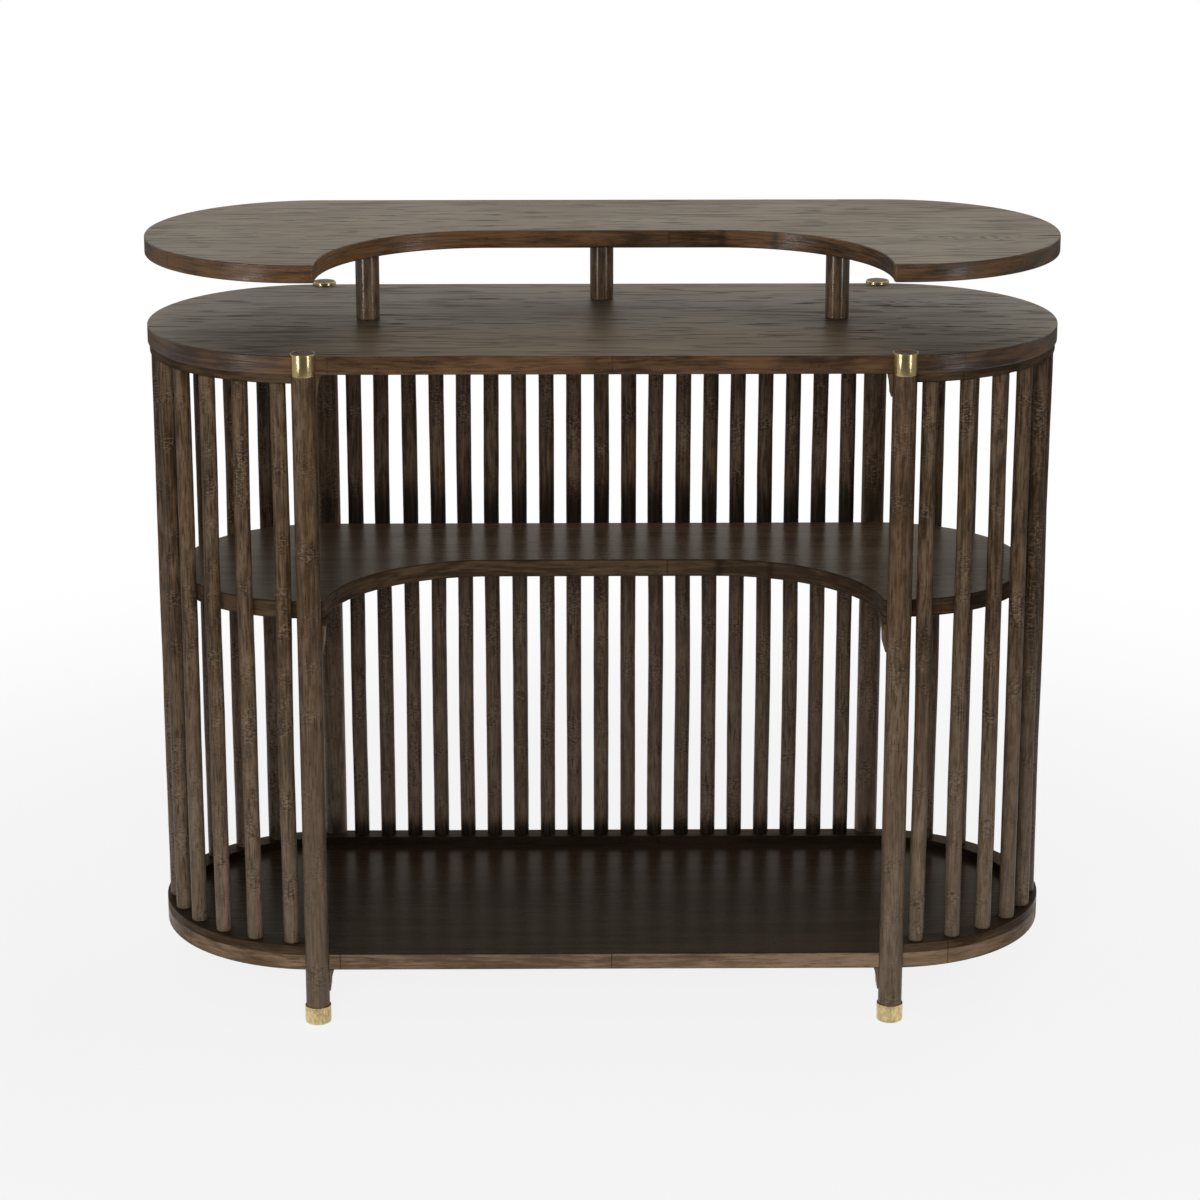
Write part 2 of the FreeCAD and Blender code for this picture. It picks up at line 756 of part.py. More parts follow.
def make_blocks():
    """Corner blocks of all legs, each with a screw up into its board and one into its leg."""
    blocks = []
    screws = []
    along = FreeCAD.Vector(1, 0, 0)
    quarter = HALF_TURN / 2
    for name, (side, face) in LEGS.items():
        for kind, (under, drop, depth) in blocks_of(name).items():
            blocks.append(make_block(name, kind, drop, depth, under))
            x, y = block_screw_place(name, depth)
            z = f"{under} - screw_grip"
            screws.append(make_screw(f"board_screw_{kind}_{name}", x, y, z, along, 0))
            x = signed(side, f"{END_CENTRE} - leg_screw_offset")
            y = signed(face, f"{END_RADIUS} - screw_grip")
            z = f"{under} - leg_screw_drop"
            screws.append(make_screw(f"leg_screw_{kind}_{name}", x, y, z, along, -face * quarter))
    group("corner_blocks", blocks)
    group("block_screws", screws)


# Checks and files

def check_document():
    """Stop if a feature failed, a cut removed nothing or a node has no sound shape."""
    for item in doc.Objects:
        if "Invalid" in item.State or "Error" in item.State:
            raise RuntimeError(f"{item.Label} failed: {item.State}")
        if item.TypeId == "PartDesign::Pocket":
            if item.Shape.Volume >= item.BaseFeature.Shape.Volume:
                raise RuntimeError(f"{item.Label} cuts nothing")
    for node in nodes:
        if node.Shape.isNull() or not node.Shape.isValid():
            raise RuntimeError(f"{node.Label} has no sound shape")


make_main_top()
make_riser_top()
make_mid_shelf()
make_bottom_shelf()
make_rails()
make_slats()
make_legs()
make_posts()
make_blocks()
doc.recompute()
check_document()
os.makedirs("parts", exist_ok=True)
for node in nodes:
    node.Shape.exportStep(f"parts/{node.Label}.step")
    print(node.Label, len(node.Shape.Solids), round(node.Shape.Volume))
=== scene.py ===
import math
import random

import bmesh
import bpy
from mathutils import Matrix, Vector


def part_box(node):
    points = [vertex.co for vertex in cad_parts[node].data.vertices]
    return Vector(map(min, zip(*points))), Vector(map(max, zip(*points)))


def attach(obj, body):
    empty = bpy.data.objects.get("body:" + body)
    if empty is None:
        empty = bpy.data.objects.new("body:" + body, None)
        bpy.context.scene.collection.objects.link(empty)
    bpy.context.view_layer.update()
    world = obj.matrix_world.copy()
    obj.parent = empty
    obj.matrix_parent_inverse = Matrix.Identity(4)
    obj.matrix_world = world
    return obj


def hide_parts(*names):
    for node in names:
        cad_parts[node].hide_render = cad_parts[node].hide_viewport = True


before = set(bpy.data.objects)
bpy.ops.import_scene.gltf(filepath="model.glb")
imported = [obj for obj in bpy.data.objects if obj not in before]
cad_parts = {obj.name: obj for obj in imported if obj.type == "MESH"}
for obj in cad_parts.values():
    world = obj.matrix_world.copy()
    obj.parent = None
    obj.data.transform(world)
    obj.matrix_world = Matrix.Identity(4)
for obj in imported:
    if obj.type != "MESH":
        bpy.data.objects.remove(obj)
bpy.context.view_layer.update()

bl_info = {
    "name": "Bar Table",
    "version": (1, 0, 0),
    "blender": (4, 5, 0),
    "location": "View3D > Sidebar > Bar Table",
    "description": "Stained wooden bar table with a raised counter and a cage of round slats",
    "category": "Object",
}

LEG_NAMES = ("leg_front_left", "leg_front_right", "leg_back_left", "leg_back_right")
SLAT_NAMES = sorted(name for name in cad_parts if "_slat_" in name)
BODY = "root"

# Heights and radii closer than these, in metres, count as the same.
SAME_HEIGHT = 1e-6
SAME_RADIUS = 1e-5
# Least upright part of a level face's normal.
LEVEL_NORMAL = 0.9
# Widest angle between faces that are shaded as one.
SMOOTH_ANGLE = math.radians(40)
# Steps of a rounding, on rims and ends and on a ferrule's foot.
RIM_STEPS = 3
FOOT_STEPS = 5
# Width of the camera's sensor in millimetres.
SENSOR_WIDTH = 36.0

# Bows of a slat: heights, spread of the heights and reach, as shares of its length.
BOW_HEIGHTS = (0.30, 0.68)
BOW_SPREAD = 0.08
BOW_REACH = 0.26
# Share of a slat's ring spacing within which a ring counts as picked.
RING_SHARE = 0.6
# Distance from a slat's ends, in metres, over which its unevenness fades out.
RIPPLE_FADE = 0.03

# Size of one unit of each pattern along X, Y and Z, in metres.
FACE_GRAIN = (0.170, 0.012, 0.030)
EDGE_GRAIN = (0.070, 0.070, 0.0050)
BOARD_RUB = (3.5, 3.5, 1.2)
KNOT_SWAY = (0.120, 0.035, 0.120)
KNOT_BREAKS = (0.045, 0.012, 0.045)
ROUND_GRAIN = (0.0048, 0.0048, 0.080)
ROUND_FLECK = (0.0026, 0.0026, 0.0012)
ROUND_RUB = (0.45, 0.45, 1.6)
TURNING_LINES = (0.20, 0.20, 0.0010)
BRASS_RUB = (0.20, 0.20, 0.30)
BRASS_LINES = (0.05, 0.05, 0.0004)
GLIDE_RUB = (0.08, 0.08, 0.08)
SCREW_RUB = (0.05, 0.05, 0.05)

# How far the grain sways, in units of its pattern.
GRAIN_SWAY = (2.6, 2.6, 2.6)
# How far a knot is drawn out along X, Y and Z, and how many rings it has.
KNOT_DRAW = (2.2, 1.0, 1.0)
KNOT_RINGS = 6.0
# Joint lines in the boards' edges: cells to the metre, and half a line's width in cells.
JOINT_CELLS = 2.6
JOINT_LINE = 0.004
# Depths of the bumps in metres, the brass one at full wear.
BRASS_BUMP = 0.0001
BOARD_BUMP = 0.00030
ROUND_BUMP = 0.00025
GLIDE_BUMP = 0.00005
SCREW_BUMP = 0.00002

# Y in metres between which the back slats take painted shade, on their inner side.
INNER_START = 0.160
INNER_FULL = 0.195
OUTER_FULL = 0.205
OUTER_END = 0.214
# Soft limits in metres of the painted shade over the middle shelf and over the lower rail.
SHELF_SHADE_SOFT = 0.01
RAIL_SHADE_FULL = 0.004
RAIL_SHADE_END = 0.045

# Heights in metres between which round stock is painted paler and paler towards the floor: painted light
# from the floor, with some rubbed wear.
FLOOR_LIGHT_TOP = 0.65
FLOOR_LIGHT_FOOT = 0.05

SCREW_DARK = (0.42, 0.40, 0.36, 1.0)
SCREW_PALE = (0.60, 0.58, 0.52, 1.0)
WHITE = (1.0, 1.0, 1.0, 1.0)

# Places, sizes and targets of the lamps in metres.
LEFT_STRIP_PLACE = (-2.3, -2.3, 1.20)
RIGHT_STRIP_PLACE = (2.3, -2.3, 1.20)
STRIP_SIZE = (0.32, 2.3)
STRIP_TARGET = (0, 0, 0.8)
FRONT_LAMP_PLACE = (-0.5, -3.4, 1.8)
BACK_LAMP_PLACE = (2.0, 2.8, 1.8)
WIDE_LAMP_SIZE = (1.9, 1.2)
TOP_LAMP_PLACE = (0, 0.2, 3.4)
TOP_LAMP_SIZE = (3.0, 2.0)
LAMP_TARGET = (0, 0, 0.5)


# Settings

def length(name, description, default):
    """A length in metres that a user may change."""
    return bpy.props.FloatProperty(
        name=name, description=description, default=default, precision=5,
        subtype="DISTANCE", unit="LENGTH",
    )


def colour(name, description, default):
    """A linear colour that a user may change."""
    return bpy.props.FloatVectorProperty(
        name=name, description=description, default=(*default, 1.0), size=4,
        subtype="COLOR", min=0.0, max=1.0,
    )


def share(name, description, default):
    """A number from 0 to 1 that a user may change."""
    return bpy.props.FloatProperty(
        name=name, description=description, default=default, min=0.0, max=1.0,
        subtype="FACTOR",
    )


def count(name, description, default):
    """A whole number that a user may change."""
    return bpy.props.IntProperty(name=name, description=description, default=default, min=1)


def position(name, description, default):
    """A place that a user may change."""
    return bpy.props.FloatVectorProperty(
        name=name, description=description, default=default, size=3, precision=4,
        subtype="XYZ", unit="LENGTH",
    )


def angle(name, description, degrees):
    """An angle that a user may change."""
    return bpy.props.FloatProperty(
        name=name, description=description, default=math.radians(degrees),
        subtype="ANGLE", unit="ROTATION",
    )


def power(name, description, default):
    """A lamp's power that a user may change."""
    return bpy.props.FloatProperty(
        name=name, description=description, default=default, unit="POWER",
    )


class BarTableSlats(bpy.types.PropertyGroup):
    """Shape of the hand-shaped slats."""
    sides: count("Sides", "Faces round a slat", 28)
    rings: count("Rings", "Cuts along a slat", 44)
    end_ease: length("End easing", "Rounding of a slat's ends", 0.002)
    tenon_radius: length("Tenon radius", "Radius of the tenon at each end", 0.006)
    tenon_length: length("Tenon length", "Length of the tenon at each end", 0.009)
    bow: length("Bow", "How far a slat may leave its straight line", 0.0013)
    ripple: length("Ripple", "Unevenness of a slat's surface", 0.0007)
    ripple_size: length("Ripple size", "Size of the unevenness along a slat", 0.05)
    seed: count("Seed", "Choice of the random bows", 7)


class BarTableBrass(bpy.types.PropertyGroup):
    """Shape and colour of collars and ferrules."""
    sides: count("Sides", "Faces round a collar or ferrule", 72)
    collar_wall: length("Collar wall", "Thickness of a collar", 0.0015)
    ferrule_wall: length("Ferrule wall", "Thickness of a ferrule's rim", 0.0015)
    ferrule_floor: length("Ferrule floor", "Thickness of a ferrule's floor", 0.002)
    foot_round: length("Foot rounding", "Rounding of a ferrule's foot", 0.003)
    rim_round: length("Rim rounding", "Rounding of the thin rims", 0.0004)
    bright: colour("Bright brass", "Clean metal", (0.70, 0.555, 0.285))
    aged: colour("Aged brass", "Tarnished metal", (0.30, 0.215, 0.105))


class BarTableGlides(bpy.types.PropertyGroup):
    """Shape and colour of the glides under the feet."""
    sides: count("Sides", "Faces round a glide", 48)
    thickness: length("Thickness", "Height of the disc under a ferrule", 0.002)
    pin_radius: length("Pin radius", "Radius of the pin in the leg", 0.002)
    edge_round: length("Edge rounding", "Rounding of the disc's edges", 0.0005)
    pale: colour("Pale", "Scuffed plastic", (0.060, 0.055, 0.050))
    dark: colour("Dark", "Clean plastic", (0.018, 0.017, 0.016))


class BarTableWood(bpy.types.PropertyGroup):
    """Colours and polish of the stained wood."""
    counter_light: colour("Counter light", "Pale grain of the two tops", (0.142, 0.100, 0.058))
    counter_dark: colour("Counter dark", "Dark grain of the two tops", (0.095, 0.066, 0.037))
    edge_light: colour("Edge light", "Pale grain of the two tops' edges", (0.178, 0.084, 0.027))
    edge_dark: colour("Edge dark", "Dark grain of the two tops' edges", (0.042, 0.020, 0.008))
    shelf_light: colour("Shelf light", "Pale grain of the middle shelf", (0.152, 0.101, 0.064))
    shelf_dark: colour("Shelf dark", "Dark grain of the middle shelf", (0.106, 0.069, 0.043))
    shelf_edge_light: colour(
        "Shelf edge light", "Pale grain of the edges of middle shelf and rails", (0.140, 0.088, 0.050))
    shelf_edge_dark: colour(
        "Shelf edge dark", "Dark grain of the edges of middle shelf and rails", (0.050, 0.031, 0.018))
    # The bottom shelf's edge tones are paler than the other edges: its wood colour with painted light
    # from the floor in it.
    floor_lit_base_edge_light: colour(
        "Base edge light", "Pale grain of the bottom shelf's edge", (0.420, 0.285, 0.180))
    floor_lit_base_edge_dark: colour(
        "Base edge dark", "Dark grain of the bottom shelf's edge", (0.170, 0.112, 0.070))
    # The base tones are a darker copy of the shelf wood: painted shade on the bottom shelf and on the
    # rails' level faces, under the boards above.
    shaded_base_light: colour(
        "Base light", "Pale grain of the bottom shelf and the rails", (0.054, 0.034, 0.020))
    shaded_base_dark: colour(
        "Base dark", "Dark grain of the bottom shelf and the rails", (0.037, 0.023, 0.014))
    slat_light: colour("Slat light", "Rubbed grain of the slats", (0.190, 0.110, 0.056))
    slat_dark: colour("Slat dark", "Dark grain of the slats", (0.055, 0.0320, 0.0165))
    leg_light: colour("Leg light", "Rubbed grain of legs, blocks and posts", (0.165, 0.091, 0.042))
    leg_dark: colour("Leg dark", "Dark grain of legs, blocks and posts", (0.070, 0.038, 0.0185))
    # Worn is also the colour of the painted floor light low on round stock.
    worn_and_floor_lit: colour("Worn", "Patches where the stain is rubbed thin", (0.340, 0.258, 0.183))
    # Pore is also the dark colour of painted shade: on the back slats' inner side and on inward-facing
    # edges.
    pore_and_shade: colour("Pore", "Stain that settled in the pores", (0.012, 0.008, 0.005))
    counter_polish: share("Counter roughness", "Roughness of the two tops", 0.45)
    counter_gloss: share("Counter gloss", "Strength of the tops' reflections", 0.5)
    shelf_polish: share("Shelf roughness", "Roughness of the shelves", 0.27)
    shelf_gloss: share("Shelf gloss", "Strength of the middle shelf's reflections", 0.042)
    base_gloss: share("Base gloss", "Strength of the reflections of bottom shelf and rails", 0.025)
    edge_polish: share("Edge roughness", "Roughness of the boards' edges", 0.40)
    round_polish: share("Round stock roughness", "Roughness of slats, legs and rails", 0.46)
    round_gloss: share("Round stock gloss", "Strength of the slats' and legs' reflections", 0.18)
    post_polish: share("Post roughness", "Roughness of the counter's posts", 0.20)
    post_gloss: share("Post gloss", "Strength of the posts' reflections", 0.90)
    counter_knot: position(
        "Counter knot", "Place of the knot on the raised counter", (0.482, -0.050, 1.045))
    top_knot: position("Main top knot", "Place of the knot on the main top", (0.374, 0.097, 0.926))
    knot_reach: length("Knot reach", "How far a knot spreads across the grain", 0.045)
    # The next three heights bound the painted shade on the inner side of the back slats, over the lower
    # rail and the middle shelf.
    rail_top: length(
        "Rail top", "Height of the lower rail, where stain gathers on the back slats", 0.111)
    shade_foot: length(
        "Stain foot", "Height of the middle shelf, where stain gathers on the back slats", 0.587)
    shade_top: length("Stain top", "Height at which the gathered stain fades out", 0.680)


class BarTableStage(bpy.types.PropertyGroup):
    """Floor, light and camera."""
    floor_size: length("Floor size", "Side of the square floor", 160.0)
    floor: colour("Floor", "Colour of the floor", (0.66, 0.66, 0.66))
    floor_glow: share(
        "Floor glow", "How far the floor by the table turns plain white in the picture", 0.86)
    glow_start: length(
        "Glow start", "Distance from the table's middle at which the floor starts to whiten", 0.8)
    glow_end: length("Glow end", "Distance from the table's middle at which the floor is white", 2.2)
    mirror_start: length(
        "Mirror start", "Distance at which the floor starts to darken in reflections", 1.2)
    backdrop: share("Backdrop", "Brightness of the studio behind the table", 1.0)
    left: share("Left", "Brightness of the studio on the left", 0.42)
    right: share("Right", "Brightness of the studio on the right", 0.30)
    front: share("Front", "Brightness of the studio on the camera's side", 0.13)
    haze: share("Haze", "Brightness of the studio's even light", 0.07)
    tint: colour("Studio tint", "Colour of the studio in reflections", (1.0, 0.955, 0.86))
    lens: bpy.props.FloatProperty(
        name="Lens", description="Focal length on a 36 mm sensor", default=110.05, unit="CAMERA",
    )
    place: position("Camera place", "Where the camera stands", (-0.049, -4.8225, 2.0))
    tilt: angle("Camera tilt", "How far the camera looks down", 16.95)
    turn: angle("Camera turn", "How far the camera turns to the right", 0.54)
    left_power: power(
        "Left strip", "Power of the strip that shines on polished parts from the left", 28.0)
    right_power: power(
        "Right strip", "Power of the strip that shines on polished parts from the right", 17.0)
    front_power: power("Front lamp", "Power of the wide lamp at the front", 57.0)
    top_power: power("Top lamp", "Power of the wide lamp overhead", 22.0)
    back_power: power("Back lamp", "Power of the wide lamp at the back", 36.0)


# Node trees

class Nodes:
    """Adds and links the nodes of one tree."""

    def __init__(self, tree):
        self.tree = tree

    def add(self, kind, values=(), **settings):
        """A node of one kind; values sets or links its inputs, by name or by place."""
        node = self.tree.nodes.new("ShaderNode" + kind)
        for name, value in settings.items():
            setattr(node, name, value)
        for key, value in dict(values).items():
            if isinstance(value, bpy.types.NodeSocket):
                self.tree.links.new(value, node.inputs[key])
            else:
                node.inputs[key].default_value = value
        return node

    def calc(self, operation, first, second=0.0):
        """Sum, product or other operation on two numbers."""
        return self.add("Math", {0: first, 1: second}, operation=operation).outputs[0]

    def ease(self, value, low, high, out_low=0.0, out_high=1.0):
        """A number that passes smoothly from one level to another between two limits, also downwards."""
        values = {0: value, 1: low, 2: high, 3: out_low, 4: out_high}
        return self.add("MapRange", values, interpolation_type="SMOOTHSTEP").outputs[0]

    def blend(self, mask, first, second):
        """Two colours mixed by a mask."""
        mixed = self.add("Mix", {0: mask, 6: first, 7: second}, data_type="RGBA")
        return mixed.outputs[2]

    def noise(self, vector, scale, detail=2.0, rough=0.5):
        """Noise texture node at one scale."""
        values = {"Vector": vector, "Scale": scale, "Detail": detail, "Roughness": rough}
        return self.add("TexNoise", values)

    def stretch(self, vector, x, y, z):
        """Coordinates whose unit is one feature's length along each axis, in metres."""
        scale = (1 / x, 1 / y, 1 / z)
        return self.add("Mapping", {"Vector": vector, "Scale": scale}).outputs[0]

    def place(self):
        """Object coordinates."""
        return self.add("TexCoord").outputs["Object"]

    def use(self, group, vector):
        """Outputs of a shared group fed with coordinates."""
        node = self.add("Group", node_tree=group)
        self.tree.links.new(vector, node.inputs["Vector"])
        return node.outputs


def new_group(name, outputs):
    """Empty shared group that takes coordinates; returns it, its nodes, its input and its outputs."""
    group = bpy.data.node_groups.new(name, "ShaderNodeTree")
    group.interface.new_socket("Vector", in_out="INPUT", socket_type="NodeSocketVector")
    for label in outputs:
        group.interface.new_socket(label, in_out="OUTPUT", socket_type="NodeSocketFloat")
    start = group.nodes.new("NodeGroupInput")
    end = group.nodes.new("NodeGroupOutput")
    return group, Nodes(group), start.outputs["Vector"], end.inputs


def finish_group(nodes, sockets, results):
    """Link each result to the group output of its name."""
    for label, result in results.items():
        nodes.tree.links.new(result, sockets[label])


def long_grain():
    """Grain along stretched coordinates: broad tone, fine streaks, thin growth lines and dark pores."""
    if "long_grain" in bpy.data.node_groups:
        return bpy.data.node_groups["long_grain"]
    group, nodes, vector, sockets = new_group("long_grain", ("Tone", "Streaks", "Lines", "Pores"))
    sway = nodes.noise(vector, 0.22, 1.0).outputs["Color"]
    bent = nodes.add("VectorMath", {0: sway, 1: GRAIN_SWAY, 2: vector},
                     operation="MULTIPLY_ADD").outputs[0]
    tone = nodes.noise(bent, 0.35, 3.0, 0.55).outputs[0]
    streaks = nodes.noise(bent, 1.3, 3.0, 0.60).outputs[0]
    rings = nodes.noise(bent, 0.9, 1.0, 0.4).outputs[0]
    slits = nodes.noise(vector, 2.7, 1.0, 0.5).outputs[0]
    patches = nodes.noise(vector, 0.16, 2.0, 0.5).outputs[0]
    lined = nodes.ease(nodes.calc("ABSOLUTE", nodes.calc("SUBTRACT", rings, 0.5)), 0.055, 0.025)
    opened = nodes.ease(slits, 0.605, 0.645)
    finish_group(nodes, sockets, {
        "Tone": nodes.ease(tone, 0.30, 0.70),
        "Streaks": nodes.ease(streaks, 0.32, 0.68),
        "Lines": nodes.calc("MULTIPLY", lined, nodes.ease(patches, 0.62, 0.40)),
        "Pores": nodes.calc("MULTIPLY", opened, nodes.ease(patches, 0.36, 0.60)),
    })
    return group


def cross_fleck():
    """Short dark and pale marks across the grain of round stock, in changing density."""
    if "cross_fleck" in bpy.data.node_groups:
        return bpy.data.node_groups["cross_fleck"]
    group, nodes, vector, sockets = new_group("cross_fleck", ("Dark", "Pale"))
    marks = nodes.noise(vector, 0.55, 2.0, 0.6).outputs[0]
    patches = nodes.noise(vector, 0.03, 2.0, 0.5).outputs[0]
    density = nodes.ease(patches, 0.44, 0.68, 0.06, 1.0)
    finish_group(nodes, sockets, {
        "Dark": nodes.calc("MULTIPLY", nodes.ease(marks, 0.50, 0.62), density),
        "Pale": nodes.calc("MULTIPLY", nodes.ease(marks, 0.48, 0.36), density),
    })
    return group


def bloom():
    """Uneven rubbing of a surface, for roughness and tint."""
    if "bloom" in bpy.data.node_groups:
        return bpy.data.node_groups["bloom"]
    group, nodes, vector, sockets = new_group("bloom", ("Cloud", "Smear"))
    cloud = nodes.noise(vector, 9.0, 4.0, 0.55).outputs[0]
    smear = nodes.noise(vector, 55.0, 3.0, 0.6).outputs[0]
    finish_group(nodes, sockets, {
        "Cloud": nodes.ease(cloud, 0.32, 0.68),
        "Smear": nodes.ease(smear, 0.35, 0.65),
    })
    return group


def new_material(name):
    """Empty node material with a shader and an output; returns it, its nodes and its shader."""
    material = bpy.data.materials.new(name)
    material.use_nodes = True
    material.node_tree.nodes.clear()
    nodes = Nodes(material.node_tree)
    shader = nodes.add("BsdfPrincipled")
    nodes.add("OutputMaterial", {"Surface": shader.outputs[0]})
    return material, nodes, shader


def feed(nodes, shader, colour_socket, roughness, height, depth):
    """Link colour, roughness and a bump of a depth in metres to a shader."""
    bump = nodes.add("Bump", {"Height": height, "Distance": depth, "Strength": 1.0})
    links = nodes.tree.links
    links.new(colour_socket, shader.inputs["Base Color"])
    links.new(roughness, shader.inputs["Roughness"])
    links.new(bump.outputs[0], shader.inputs["Normal"])


def weigh(nodes, first, first_share, second, second_share):
    """Weighted sum of two numbers."""
    return nodes.calc("ADD", nodes.calc("MULTIPLY", first, first_share),
                      nodes.calc("MULTIPLY", second, second_share))


def knot_rings(nodes, place, centre, reach_out):
    """Uneven rings round a knot, drawn out along the grain and fading with the distance."""
    offset = nodes.add("VectorMath", {0: place, 1: centre}, operation="SUBTRACT").outputs[0]
    drawn = nodes.stretch(offset, *KNOT_DRAW)
    gap = nodes.add("VectorMath", {0: drawn}, operation="LENGTH").outputs["Value"]
    uneven = nodes.noise(nodes.stretch(place, *KNOT_SWAY), 1.0, 2.0).outputs[0]
    swayed = nodes.calc("ADD", gap, nodes.calc("MULTIPLY", uneven, reach_out * 0.7))
    turns = nodes.calc("FRACT", nodes.calc("MULTIPLY", swayed, KNOT_RINGS / reach_out))
    ring = nodes.ease(nodes.calc("ABSOLUTE", nodes.calc("SUBTRACT", turns, 0.5)), 0.28, 0.08)
    breaks = nodes.noise(nodes.stretch(place, *KNOT_BREAKS), 1.0, 1.0).outputs[0]
    fade = nodes.ease(gap, reach_out, reach_out * 0.2, 0.0, 0.55)
    return nodes.calc("MULTIPLY", nodes.calc("MULTIPLY", ring, nodes.ease(breaks, 0.28, 0.56)), fade)


def face_marks(nodes, place, grain, figure):
    """Dark marks on a board's faces: pores, knots and faint growth lines."""
    wood = bpy.context.scene.bar_table_wood
    knots = nodes.calc("MAXIMUM", knot_rings(nodes, place, wood.counter_knot, wood.knot_reach),
                       knot_rings(nodes, place, wood.top_knot, wood.knot_reach))
    marks = nodes.calc("MAXIMUM", nodes.calc("MAXIMUM", grain["Pores"], knots),
                       nodes.calc("MULTIPLY", grain["Lines"], 0.5))
    return nodes.calc("MULTIPLY", marks, figure)


def rim_tint(nodes, place, facing, grain, rub, tones, inward_painted_shade):
    """Colour of a board's edge: uneven grain, joint lines, and painted shade on edges that face inwards.
    """
    pore_and_shade = bpy.context.scene.bar_table_wood.pore_and_shade
    smeared = weigh(nodes, grain["Streaks"], 0.6, rub["Smear"], 0.4)
    clouded = weigh(nodes, smeared, 0.6, rub["Cloud"], 0.4)
    tint = nodes.blend(nodes.ease(clouded, 0.15, 0.85), *tones)
    tint = nodes.blend(nodes.calc("MULTIPLY", grain["Pores"], 0.45), tint, pore_and_shade)
    joint = nodes.add("TexVoronoi", {"Vector": place, "Scale": JOINT_CELLS},
                      feature="DISTANCE_TO_EDGE", voronoi_dimensions="2D").outputs["Distance"]
    tint = nodes.blend(nodes.ease(joint, JOINT_LINE, 0.0, 0.0, 0.6), tint, pore_and_shade)
    outward = nodes.add("VectorMath", {0: facing, 1: place}, operation="DOT_PRODUCT").outputs["Value"]
    # Edges that face inwards are darkened as painted shade.
    return nodes.blend(nodes.ease(outward, 0.0, -0.05, 0.0, inward_painted_shade), tint, pore_and_shade)


def board_wood(name, face_tones, edge_tones, polish, gloss, figure, inward_painted_shade):
    """Board with grain along its length on the faces and along the outline on the edges."""
    wood = bpy.context.scene.bar_table_wood
    material, nodes, shader = new_material(name)
    place = nodes.place()
    face = nodes.use(long_grain(), nodes.stretch(place, *FACE_GRAIN))
    edge = nodes.use(long_grain(), nodes.stretch(place, *EDGE_GRAIN))
    rub = nodes.use(bloom(), nodes.stretch(place, *BOARD_RUB))
    facing = nodes.add("NewGeometry").outputs["Normal"]
    upright = nodes.add("SeparateXYZ", {0: facing}).outputs[2]
    tilt = nodes.calc("ABSOLUTE", upright)
    level = nodes.ease(tilt, 0.55, 0.92)
    slope = nodes.calc("SUBTRACT", 1.0, level)
    arris = nodes.calc("MULTIPLY", nodes.ease(tilt, 0.15, 0.45), nodes.ease(tilt, 0.995, 0.90))
    marks = face_marks(nodes, place, face, figure)
    top_grain = nodes.ease(weigh(nodes, face["Streaks"], 0.45, face["Tone"], 0.55), 0.2, 0.8)
    top_colour = nodes.blend(marks, nodes.blend(top_grain, *face_tones), wood.pore_and_shade)
    rim_colour = rim_tint(nodes, place, facing, edge, rub, edge_tones, inward_painted_shade)
    tint = nodes.blend(level, rim_colour, top_colour)
    tint = nodes.blend(nodes.calc("MULTIPLY", arris, 0.55), tint, wood.pore_and_shade)
    face_polish = nodes.calc("ADD", nodes.ease(rub["Cloud"], 0.0, 1.0, polish - 0.02, polish + 0.03),
                             nodes.calc("MULTIPLY", marks, 0.3))
    rim_polish = nodes.ease(rub["Smear"], 0.0, 1.0, wood.edge_polish - 0.13, wood.edge_polish + 0.12)
    roughness = nodes.calc("ADD", nodes.calc("MULTIPLY", face_polish, level),
                           nodes.calc("MULTIPLY", rim_polish, slope))
    height = nodes.calc("SUBTRACT", nodes.calc("MULTIPLY", edge["Streaks"], slope),
                        nodes.calc("MULTIPLY", marks, 0.1))
    feed(nodes, shader, tint, roughness, height, BOARD_BUMP)
    shader.inputs["Specular IOR Level"].default_value = gloss
    return material


def back_slat_painted_shade(nodes, deep, height, streaks):
    """Painted shade on the inner side of the back slats, deepest over lower rail and middle shelf."""
    wood = bpy.context.scene.bar_table_wood
    inside = nodes.calc("MULTIPLY", nodes.ease(deep, INNER_START, INNER_FULL),
                        nodes.ease(deep, OUTER_END, OUTER_FULL))
    foot = wood.shade_foot
    over_shelf = nodes.calc("MULTIPLY", nodes.ease(height, wood.shade_top, foot + SHELF_SHADE_SOFT),
                            nodes.ease(height, foot - SHELF_SHADE_SOFT, foot))
    over_rail = nodes.ease(height, wood.rail_top + RAIL_SHADE_END, wood.rail_top + RAIL_SHADE_FULL)
    uneven = nodes.ease(streaks, 0.2, 0.8, 1.0, 0.8)
    shaded = nodes.calc("MULTIPLY", nodes.calc("MAXIMUM", over_shelf, over_rail), uneven)
    return nodes.calc("MULTIPLY", inside, nodes.ease(shaded, 0.0, 1.0, 0.30, 1.0))


